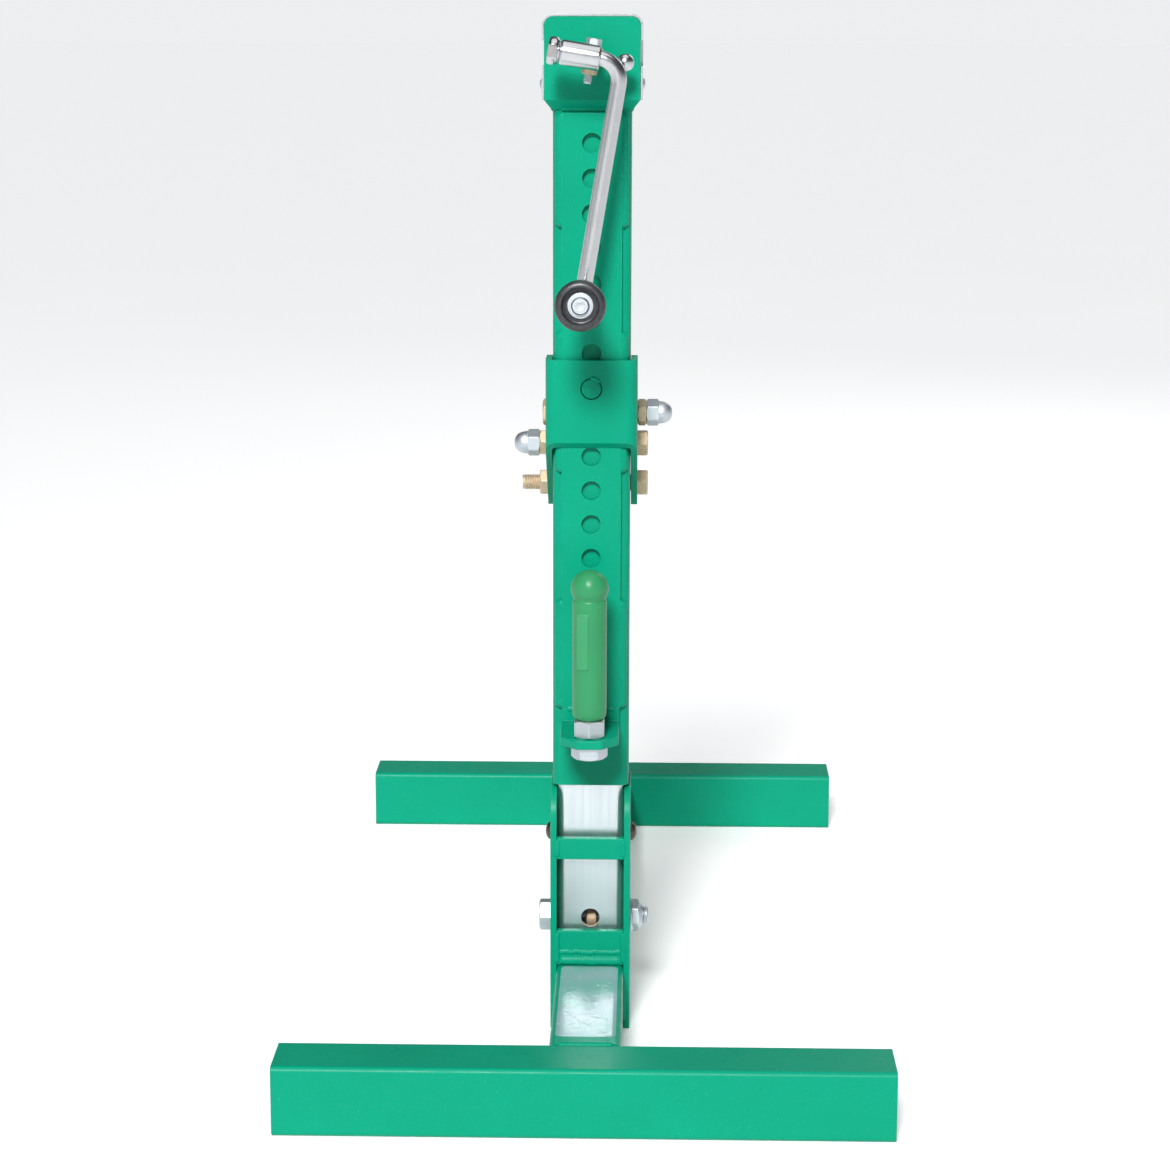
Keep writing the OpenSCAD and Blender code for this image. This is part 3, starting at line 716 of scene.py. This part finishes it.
def bracket_weld():
    """Beads where the grip's bracket meets the tube, below its plate and along the top of its leg."""
    low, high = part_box("grip_bracket")
    tube_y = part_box("outer_tube")[0].y
    leg_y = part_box("perforated_strip")[0].y + 1 * MM
    leg_top = high.z - 0.3 * MM
    for name, y, z, inset, radius, facing, seed in (
        ("under", tube_y, low.z, 2 * MM, 3 * MM, (0, -1, -1), 0),
        ("leg", leg_y, leg_top, 3 * MM, 2.4 * MM, (0, -1, 0.3), 5),
    ):
        start = (low.x + inset, y, z)
        stop = (high.x - inset, y, z)
        straight_bead(f"weld_bracket_{name}", "grip_bracket", start, stop, radius, facing, seed)


def neck_weld():
    """Bead round the mast under the gear head."""
    low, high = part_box("outer_tube")
    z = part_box("head_housing")[0].z
    inset = 6 * MM
    for name, start, end, facing in (
        ("front", (low.x + inset, low.y, z), (high.x - inset, low.y, z), (0, -1, -0.6)),
        ("rear", (low.x + inset, high.y, z), (high.x - inset, high.y, z), (0, 1, -0.6)),
        ("left", (low.x, low.y + inset, z), (low.x, high.y - inset, z), (-1, 0, -0.6)),
        ("right", (high.x, low.y + inset, z), (high.x, high.y - inset, z), (1, 0, -0.6)),
    ):
        straight_bead(f"weld_neck_{name}", "head_housing", start, end, 2.2 * MM, facing, seed=6)


def tooth_weld():
    """The locking tooth's dished face in the carriage's web, with a short bead on its upper edge."""
    low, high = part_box("lock_tooth")
    centre = middle("lock_tooth")
    radius = (high.x - low.x) / 2
    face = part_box("carriage_sleeve")[0].y
    blob = [
        Vector((centre.x + across, face, centre.z + up)) for across, up in arc(0, 0, radius, 38, 96, 12)
    ]
    weld_bead("weld_tooth", "lock_tooth", blob, 1.5 * MM, (0, -1, 0), ripple=1.8 * MM, seed=7)
    edge = radius / MM
    dish = [(0, 0.5), (edge - 2.2, 0.45), (edge - 0.9, 0.7), (edge - 0.2, 1.9), (edge, 4.6)]
    plug = moved(turned(profile_mm(dish), 64), aimed((centre.x, face, centre.z), Y_AXIS))
    add_piece("lock_tooth_face", plug, "lock_tooth", PAINT, ["lock_tooth"])


# ---------------------------------------------------------------- fasteners


def nut_on(name, node, place, across_flats, height, bore, material):
    """Nut that stands for node. place, a matrix from aimed(), carries its lower face to its seat."""
    shape = moved(hexagon(across_flats, height, bore / 2), place)
    return add_piece(name, shape, node, material, [node], HEX_SMOOTH)


def half_dome(radius, rise, steps, base=0.0):
    """Profile of a dome of the given radius and rise that stands at the height base."""
    turns = [math.radians(90 * k / steps) for k in range(steps + 1)]
    return [(radius * math.cos(a), base + rise * math.sin(a)) for a in turns]


def pivot_fasteners():
    """Pivot bolt with its hex head, flanged lock nut and the point of its thread, and the ring on it."""
    low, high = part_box("pivot_bolt")
    axis = middle("pivot_bolt")
    plate_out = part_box("yoke_plate_right")[1].x
    flats = 22 * MM
    seat = (-plate_out, axis.y, axis.z)
    head = hexagon(flats, -plate_out - low.x, chamfer_low=False)
    head = moved(head, aimed(seat, -X_AXIS, math.radians(5)))
    add_piece("pivot_bolt_head", head, "pivot_bolt", BLUE_ZINC, ["pivot_bolt"], HEX_SMOOTH)
    shank = threaded(14 * MM, high.x + plate_out, 2 * MM, plain=2 * plate_out)
    shank = moved(shank, aimed(seat, X_AXIS))
    add_piece("pivot_bolt_shank", shank, "pivot_bolt", BLUE_ZINC, ["pivot_bolt"], smooth=48)
    bore_r = 7.2
    collar = [(bore_r, 6.6), (9.6, 6.8), (8.6, 9.3), (bore_r, 9.5)]
    flange = [(bore_r, 0), (13, 0), (13, 0.8), (11.4, 2.3), (bore_r, 2.3)]
    nut = merged(
        turned(profile_mm(flange, 0.4)),
        hexagon(flats, 7.2 * MM, bore_r * MM),
        turned(profile_mm(collar)),
    )
    nut = moved(nut, aimed((plate_out, axis.y, axis.z), X_AXIS, math.radians(20)))
    add_piece("pivot_flange_nut", nut, "pivot_lock_nut", BLUE_ZINC, ["pivot_lock_nut"], HEX_SMOOTH)
    refined("pivot_ring", 0.3 * MM, RING_ZINC)


def upper_pin_pieces():
    """Upper pin with a domed head on each side."""
    axis = middle("upper_pin")
    plate_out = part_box("yoke_plate_right")[1].x
    pin_r = 4.7 * MM
    head_r = 7 * MM
    rim = 0.8 * MM
    pin = turned([(0, 0), (pin_r, 0), (pin_r, 2 * plate_out), (0, 2 * plate_out)])
    parts = [moved(pin, aimed((-plate_out, axis.y, axis.z), X_AXIS))]
    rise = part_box("upper_pin")[1].x - plate_out
    dome = [(0, 0), (head_r, 0)] + half_dome(head_r, rise - rim, 10, base=rim)
    for sign in (-1, 1):
        parts.append(moved(turned(dome), aimed((sign * plate_out, axis.y, axis.z), X_AXIS * sign)))
    add_piece("upper_pin_domes", merged(*parts), "upper_pin", DARK_STEEL, stands_for=["upper_pin"])


def head_rivet_pieces():
    """Four dome rivets on the sides of the gear head's cover."""
    cover_low, cover_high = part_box("head_cover")
    low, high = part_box("head_rivets")
    radius = 3.5 * MM
    z = middle("head_rivets").z
    dome = [(0, 0)] + half_dome(radius, high.x - cover_high.x, 8)
    parts = []
    for sign, face in ((-1, cover_low.x), (1, cover_high.x)):
        for y in (low.y + radius, high.y - radius):
            parts.append(moved(turned(dome, 48), aimed((face, y, z), X_AXIS * sign)))
    add_piece("head_rivet_domes", merged(*parts), "head_rivets", BLUE_ZINC, stands_for=["head_rivets"])


def grip_fasteners():
    """Bolt that holds the grip from below, and the nut it is locked with."""
    low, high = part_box("grip_bolt")
    axis = middle("grip_bolt")
    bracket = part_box("grip_bracket")[0].z
    nut_low, nut_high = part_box("grip_nut")
    head = hexagon(23.5 * MM, bracket - low.z, chamfer_low=False)
    shank = threaded(14 * MM, high.z - bracket, 2 * MM)
    bolt = merged(
        moved(head, aimed((axis.x, axis.y, bracket), -Z_AXIS)),
        moved(shank, Matrix.Translation((axis.x, axis.y, bracket))),
    )
    add_piece("grip_bolt_hex", bolt, "grip_bolt", BLUE_ZINC, ["grip_bolt"], HEX_SMOOTH)
    place = aimed((axis.x, axis.y, nut_low.z), Z_AXIS, math.radians(30))
    nut_on("grip_nut_hex", "grip_nut", place, 22 * MM, nut_high.z - nut_low.z, 14.1 * MM, BLUE_ZINC)


def carriage_fasteners():
    """Cross bolts, jam nuts and cap nuts of the carriage, each turned as it was tightened."""
    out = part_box("carriage_sleeve")[1].x
    flats = 18 * MM
    jam_h = 6.6 * MM
    turns = {"top": (30, 32, 28), "middle": (0, 10, 31), "bottom": (-14, 12, 0)}
    for place, degrees in turns.items():
        head_turn, jam_turn, cap_turn = (math.radians(a) for a in degrees)
        node = f"cross_bolt_{place}"
        low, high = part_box(node)
        axis = middle(node)
        head_side = -1 if place == "top" else 1
        head_h = (-out - low.x) if head_side < 0 else (high.x - out)
        reach = (high.x - out) if head_side < 0 else (-out - low.x)
        start = (head_side * out, axis.y, axis.z)
        inward = -X_AXIS * head_side
        head = hexagon(flats, head_h, chamfer_low=False)
        shank = threaded(12 * MM, 2 * out + reach, 1.75 * MM, plain=2 * out - 4 * MM)
        bolt = merged(moved(head, aimed(start, -inward, head_turn)), moved(shank, aimed(start, inward)))
        add_piece(f"{node}_hex", bolt, node, YELLOW_ZINC, [node], HEX_SMOOTH)
        seat = Vector((-head_side * out, axis.y, axis.z))
        jam_place = aimed(seat, inward, jam_turn)
        nut_on(f"jam_nut_{place}", "carriage_jam_nuts", jam_place, flats, jam_h, 12.1 * MM, YELLOW_ZINC)
        if place != "bottom":
            cap = moved(acorn(flats), aimed(seat + inward * jam_h, inward, cap_turn))
            add_piece(f"cap_nut_{place}", cap, "acorn_nuts", BLUE_ZINC, ["acorn_nuts"], HEX_SMOOTH)


def acorn(flats):
    """Cap nut: a short hexagon, a small neck and a bullet-shaped dome."""
    hex_h = 9.6 * MM
    neck_h = 0.9 * MM
    rise = 9.05 * MM
    base_r = flats * 0.485
    bore_r = 6.1 * MM
    bore_depth = 4 * MM
    steps = 12
    dome = [(base_r * 0.98, hex_h - 0.8 * MM), (base_r, hex_h - 0.1 * MM), (base_r, hex_h + 0.5 * MM)]
    for k in range(steps):
        turn = math.radians(90 * k / steps)
        dome.append((base_r * 0.97 * math.cos(turn) ** 0.8, hex_h + neck_h + rise * math.sin(turn) ** 1.05))
    dome.append((0, hex_h + neck_h + rise))
    bore = [(0, bore_depth), (bore_r, bore_depth), (bore_r, 0)]
    return merged(hexagon(flats, hex_h, bore_r), turned(dome), turned(bore))


def carriage_inner_pieces():
    """Spacers and roller behind the mast."""
    refined("lug_spacers", 0.5 * MM, BLUE_ZINC)
    refined("bearing_roller", 0.8 * MM, PLAIN)


# ---------------------------------------------------------------- crank

CRANK_POS = Vector(joint("crank_turn")["pos_m"])
FOLD_POS = Vector(joint("crank_fold")["pos_m"])
KNOB_POS = Vector(joint("knob_spin")["pos_m"])
FOLD_AXIS = -Vector(joint("crank_fold")["axis"]).normalized()
LEAN = math.atan2(-FOLD_AXIS.z, FOLD_AXIS.x)
CRANK_PLACE = Matrix.Translation((CRANK_POS.x, 0, CRANK_POS.z)) @ Matrix.Rotation(LEAN, 4, "Y")
ARM_X = 22 * MM
COLLAR_Y = FOLD_POS.y
COLLAR_X = -21.8 * MM
LOCK_Y = COLLAR_Y + 16 * MM


def in_crank(bm, x, y, z, direction):
    """Places a shape drawn along +Z at a point of the crank, drawn as if its arm hung straight down."""
    return moved(bm, CRANK_PLACE @ aimed((x, y, z), direction))


def cut(bm, tool):
    """The first mesh with the second one taken out of it."""
    pair = []
    for shape in (bm, tool):
        mesh = bpy.data.meshes.new("cut")
        shape.to_mesh(mesh)
        shape.free()
        pair.append(link("cut", mesh))
    carve = pair[0].modifiers.new("cut", "BOOLEAN")
    carve.operation = "DIFFERENCE"
    carve.solver = "EXACT"
    carve.object = pair[1]
    result = bmesh.new()
    result.from_object(pair[0], bpy.context.evaluated_depsgraph_get())
    for made in pair:
        mesh = made.data
        bpy.data.objects.remove(made)
        bpy.data.meshes.remove(mesh)
    return result


def block(low, high):
    """A cutting block between two corners."""
    bm = bmesh.new()
    bmesh.ops.create_cube(bm, size=1)
    low, high = Vector(low), Vector(high)
    return moved(bm, Matrix.Translation((low + high) / 2) @ Matrix.Diagonal((*(high - low), 1)))


def collar_pieces():
    """Cross collar, its clamping bolt and nut, and the ball-ended stub."""
    bore_r = 5.9
    length = 28.4
    wall = [(8.1, 0), (9, 1.1), (9, length - 1.1), (8.1, length)]
    collar = turned(profile_mm([(bore_r, 0), *wall, (bore_r, length), (bore_r, 0)], 0.35))
    collar = in_crank(collar, COLLAR_X, COLLAR_Y, 0, X_AXIS)
    add_piece("crank_collar_turned", collar, "crank_collar", STEEL, ["crank_collar"])

    flats = 10 * MM
    head = hexagon(flats, 4.5 * MM, chamfer_low=False)
    shank = threaded(6.3 * MM, 28 * MM, 1.25 * MM, plain=14 * MM, steps=36)
    bolt = merged(
        in_crank(head, 0, LOCK_Y, 8.5 * MM, Z_AXIS),
        in_crank(shank, 0, LOCK_Y, 9 * MM, -Z_AXIS),
    )
    add_piece("collar_bolt_hex", bolt, "collar_bolt", BLUE_ZINC, ["collar_bolt"], HEX_SMOOTH)
    nut = in_crank(hexagon(flats, 4 * MM, 3.2 * MM), 0, LOCK_Y, -12.5 * MM, Z_AXIS)
    add_piece("collar_nut_hex", nut, "collar_nut", YELLOW_ZINC, ["collar_nut"])

    neck = [(0, 4.5), (3.5, 4.5), (3.5, 8), (3.1, 10), (2.6, 15), (2.7, 17.2), (3.3, 18.5)]
    ball = arc(0, 24, 6.5, -56, 84, 22) + [(0.6, 30.45), (0, 30.45)]
    stub = in_crank(turned(scaled(neck + ball)), 0, LOCK_Y, 0, X_AXIS)
    add_piece("ball_stub_turned", stub, "ball_stub", STEEL, ["ball_stub"])


def rod_pieces():
    """Bent crank rod, and the turned and slotted head at its upper end, the slot's floor in darker steel as
    painted shade.
    """
    bend = 15 * MM
    bend_steps = 24
    rod_r = 5.8 * MM
    to_knob = KNOB_POS - CRANK_PLACE @ Vector((ARM_X, COLLAR_Y, 0))
    drop = to_knob.length + rod_r - bend
    path = [Vector((x * MM, COLLAR_Y, 0)) for x in (-22.8, -22.2, -12, -4, 2, 5)]
    for k in range(bend_steps + 1):
        turn = math.radians(90 * k / bend_steps)
        path.append(Vector((ARM_X - bend + bend * math.sin(turn), COLLAR_Y, -bend + bend * math.cos(turn))))
    for share in (0.1, 0.3, 0.5, 0.7, 0.85, 0.97, 0.985, 1.0):
        path.append(Vector((ARM_X, COLLAR_Y, -bend - drop * share)))
    last = len(path) - 1
    taper = {0: 0.9, last: 0.8, last - 1: 0.93}
    rod = swept(path, lambda t: rod_r * taper.get(round(t * last), 1.0), steps=56)
    add_piece("crank_rod_bent", moved(rod, CRANK_PLACE), "crank_rod", STEEL, ["crank_rod"], smooth=40)

    foot_r = 8.2
    lobe = [(9.2, 1.7), (9.9, 3.2), (10, 5), (9.8, 7), (8.6, 8.6)]
    barrel = [(0, 0.1), (foot_r, 0.1), (foot_r, 1.1), *lobe, (0, 8.8)]
    slot_y = -7.6 * MM
    half_slot = 4.2 * MM
    past = 14 * MM  # beyond the barrel, so that the cut comes out of it
    slot = block((-half_slot, -past, 2.2 * MM), (half_slot, slot_y, past))
    foot = Matrix.Translation((-22.1 * MM, COLLAR_Y, 0)) @ Matrix.Rotation(math.radians(-90), 4, "Y")
    head = moved(cut(turned(profile_mm(barrel, 0.6)), slot), CRANK_PLACE @ foot)
    piece = add_piece("rod_head_slotted", head, "rod_head", STEEL, ["rod_head"], smooth=30, weighted=True)
    # painted shade: the slot's floor takes the darker oiled steel
    piece.data.materials.append(PLAIN)
    for face in piece.data.polygons:
        on_slot_floor = abs(face.center.y - COLLAR_Y - slot_y) < 0.01 * MM
        if face.normal.y < -0.9 and on_slot_floor:
            face.material_index = 1


def knob_pieces():
    """Turned knob with a dished end, and the washer and bolt head that hold it on its axle."""
    gap = 6.4  # from the rod's axis to the knob's foot
    bore_r = 4.2
    side = [(10.6, 0), (11.4, 1.2), (11.7, 5), (11.5, 11), (11.9, 17), (13.2, 24), (15.6, 31), (17.3, 36)]
    rim = arc(13.9, 47.6, 4.1, -20, 92, 14)
    dish = [(13.5, 51.5), (13.2, 50.8), (13.1, 46.5), (12.3, 45.2), (11.6, 45.0), (11.3, 44.2)]
    body = [(bore_r, 0), *side, *rim, *dish, (bore_r, 44.0), (bore_r, 0)]
    knob = turned(scaled((r, h + gap) for r, h in body), 112)
    place = aimed(KNOB_POS, -Y_AXIS)
    add_piece("knob_turned", moved(knob, place), "knob", KNOB, ["knob"], smooth=38)

    shaft = [(0, 5), (4, 5), (4, 50.7), (0, 50.7)]
    washer = eased([(3.9, 50.55), (9.5, 50.55), (9.5, 51.1), (9.1, 52.0), (6, 52.1), (3.9, 52.1)], 0.3)
    flat_top = 55.7
    dome = [(0, 52.0), (6.4, 52.0), (6.5, 53.2)] + arc(0, 52.9, 6.0, 12, 55, 8)
    dome = [(r, min(h, flat_top)) for r, h in dome] + [(3.2, 55.95), (2.6, 55.9), (2.4, 54.6), (0, 54.4)]
    axle = moved(merged(*(turned(scaled(shape), 72) for shape in (shaft, washer, dome))), place)
    add_piece("knob_axle_turned", axle, "knob_axle", BLUE_ZINC, ["knob_axle"], smooth=38)


# ---------------------------------------------------------------- grip and label


def grip_handle_piece():
    """Moulded grip: rounded foot, straight body, a groove and a ball."""
    low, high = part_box("grip_handle")
    axis = middle("grip_handle")
    ball_r = (high.x - low.x) / 2 / MM
    body_r = 12.6
    height = (high.z - low.z) / MM
    ball_z = height - ball_r
    profile = [(7.1, 0.6), (7.6, 0), (9.0, 0), (10.6, 0.8), (11.9, 2.6), (12.5, 5.4)]
    profile += [(body_r, h) for h in (9, 20, 40, 60, 80)]
    groove = ((0, 9.4), (0.25, 8.5), (0.8, 7.9), (0.6, 7.2))
    profile += [(body_r - depth, ball_z - below) for depth, below in groove]
    profile += arc(0, ball_z, ball_r, -29, 90, 26)
    profile[-1] = (0, height)
    grip = moved(turned(scaled(profile), 112), Matrix.Translation((axis.x, axis.y, low.z)))
    add_piece("grip_moulded", grip, "grip_handle", GRIP, ["grip_handle"], smooth=50)


def grip_panel_piece():
    """Blank raised panel that wraps round the grip, with a rim that stands a little above its field."""
    low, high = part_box("grip_panel")
    axis = middle("grip_handle")
    base = 12.55 * MM
    rise = 0.95 * MM
    slope_w = 0.9 * MM
    rim_w = 1.6 * MM
    field_drop = 0.4 * MM
    drop_w = 0.5 * MM
    half_w = 4.9 * MM
    turn_mid = math.radians(-90 - 24)
    rows, columns = 60, 20
    bm = bmesh.new()
    grid = []
    for i in range(rows + 1):
        z = low.z + (high.z - low.z) * i / rows
        row = []
        for k in range(columns + 1):
            across = (2 * k / columns - 1) * half_w
            from_edge = min(half_w - abs(across), z - low.z, high.z - z)
            lift = rise * min(max(from_edge / slope_w, 0), 1) ** 0.6
            if from_edge > rim_w:
                lift -= field_drop * min((from_edge - rim_w) / drop_w, 1)
            turn = turn_mid + across / base
            r = base + lift
            row.append(bm.verts.new((axis.x + r * math.cos(turn), axis.y + r * math.sin(turn), z)))
        grid.append(row)
    join_rings(bm, grid, closed=False)
    add_piece("grip_panel_raised", bm, "grip_panel", GRIP_PANEL, ["grip_panel"], smooth=60)


def label_piece():
    """Blank label on the beam: rounded corners, pressed down at its edge, gently uneven."""
    low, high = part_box("beam_label")
    columns, rows = 28, 96
    corner = 5 * MM
    waviness = 0.06 * MM
    edge_drop = 0.3 * MM
    edge_w = 0.5 * MM
    bm = bmesh.new()
    grid = []
    for i in range(rows + 1):
        row = []
        y = low.y + (high.y - low.y) * i / rows
        from_end = min(y - low.y, high.y - y)
        into_corner = max(corner - from_end, 0)
        pinch = corner - math.sqrt(max(corner**2 - into_corner**2, 0))
        for k in range(columns + 1):
            x = low.x + pinch + (high.x - low.x - 2 * pinch) * k / columns
            sag = waviness * (noise.noise(Vector((x * 60, y * 40, 2.0))) - 1)
            from_edge = min(from_end, x - low.x - pinch, high.x - pinch - x)
            drop = edge_drop * max(1 - from_edge / edge_w, 0)
            row.append(bm.verts.new((x, y, high.z + sag - drop)))
        grid.append(row)
    join_rings(bm, grid, closed=False)
    if sum(face.normal.z for face in bm.faces) < 0:
        bmesh.ops.reverse_faces(bm, faces=bm.faces)
    add_piece("beam_label_blank", bm, "beam_label", FILM, ["beam_label"], smooth=60)


# ---------------------------------------------------------------- the rest of the frame, camera and light


def finish_cad_nodes():
    """Gives every CAD node the procedural material of its slot."""
    own = {"inner_tube": ZINC_TUBE, "head_cover": ZINC_SHEET}
    for node, thing in frame["nodes"].items():
        thing.data.materials.clear()
        thing.data.materials.append(own.get(node, SLOT_MATERIAL[SLOT_OF[node]]))


def look_along(direction):
    """Rotation that points a lamp's beam along direction."""
    return Vector(direction).to_track_quat("-Z", "Y").to_euler()


def lay_floor():
    """Plain pale floor that runs to the horizon, glowing faintly so that it stays pale far away."""
    half = 150.0
    corners = [(-half, -half, 0), (half, -half, 0), (half, half, 0), (-half, half, 0)]
    mesh = bpy.data.meshes.new("floor")
    mesh.from_pydata(corners, [], [(0, 1, 2, 3)])
    ground = link("floor", mesh)
    pale = Finish("floor", (0.9, 0.9, 0.9), 0.0, 0.7)
    pale.feed(pale.ramp(pale.noise(0.4, 3), [(0.3, 0.9), (0.7, 0.91)]), "Base Color")
    pale.shader.inputs["Emission Color"].default_value = (0.97, 0.985, 1, 1)
    pale.shader.inputs["Emission Strength"].default_value = 0.2
    mesh.materials.append(pale.material)


def light_studio():
    """Sky that is pale at the horizon and dark above, a soft sun from the front, and four lamps."""
    world = bpy.data.worlds.new("studio")
    world.use_nodes = True
    tree = world.node_tree
    direction = tree.nodes.new("ShaderNodeTexCoord").outputs["Generated"]
    split = tree.nodes.new("ShaderNodeSeparateXYZ")
    tree.links.new(direction, split.inputs[0])
    fade = tree.nodes.new("ShaderNodeValToRGB")
    tree.links.new(split.outputs["Z"], fade.inputs["Fac"])
    fade.color_ramp.elements.new(0.5)
    sky = ((0.02, (0.85, 0.86, 0.87, 1)), (0.13, (0.32, 0.33, 0.34, 1)), (0.3, (0.06, 0.065, 0.07, 1)))
    for element, (height, colour) in zip(fade.color_ramp.elements, sky):
        element.position = height
        element.color = colour
    tree.links.new(fade.outputs["Color"], tree.nodes["Background"].inputs["Color"])
    bpy.context.scene.world = world
    bpy.context.scene.view_settings.view_transform = "Standard"

    sun = bpy.data.lights.new("key", "SUN")
    sun.energy = 3.85
    sun.angle = math.radians(13)
    link("key", sun).rotation_euler = look_along((0.12, 1.0, -0.72))

    lamps = (  # name, place, target, size in metres and power in watts
        ("softbox", (-0.25, -1.5, 1.75), (0, -0.15, 0.6), 0.6, 11),
        ("top", (0.2, -0.3, 2.6), (0, 0, 0.3), 1.6, 9),
        ("left", (-2.4, -0.8, 1.4), (0, -0.1, 0.4), 1.2, 2),
        ("back", (1.2, 2.6, 2.0), (0, 0, 0.3), 1.6, 14),
    )
    for name, place, target, size, power in lamps:
        light = bpy.data.lights.new(name, "AREA")
        light.shape = "SQUARE"
        light.size = size
        light.energy = power
        lamp = link(name, light)
        lamp.location = place
        lamp.rotation_euler = look_along(Vector(target) - Vector(place))


def place_camera():
    """Camera in front of the stand at about the height of its head, looking a little down."""
    place = (0.0415, -2.2366, 0.7657)
    pitch_down, pan, roll = (math.radians(a) for a in (11.56, 1.281, 0.116))
    data = bpy.data.cameras.new("camera")
    data.sensor_width = 36
    data.lens = 86.78
    data.clip_end = 60
    camera = link("camera", data)
    camera.matrix_world = (
        Matrix.Translation(place)
        @ Matrix.Rotation(pan, 4, "Z")
        @ Matrix.Rotation(math.radians(90) - pitch_down, 4, "X")
        @ Matrix.Rotation(roll, 4, "Z")
    )
    bpy.context.scene.camera = camera


painted_weldments()
base_welds()
yoke_welds()
mast_welds()
bracket_weld()
neck_weld()
tooth_weld()
refined("inner_tube", 0.3 * MM, ZINC_TUBE)
refined("head_cover", 0.25 * MM, ZINC_SHEET)
pivot_fasteners()
upper_pin_pieces()
head_rivet_pieces()
grip_fasteners()
carriage_fasteners()
carriage_inner_pieces()
collar_pieces()
rod_pieces()
knob_pieces()
grip_handle_piece()
grip_panel_piece()
label_piece()
finish_cad_nodes()
lay_floor()
light_studio()
place_camera()
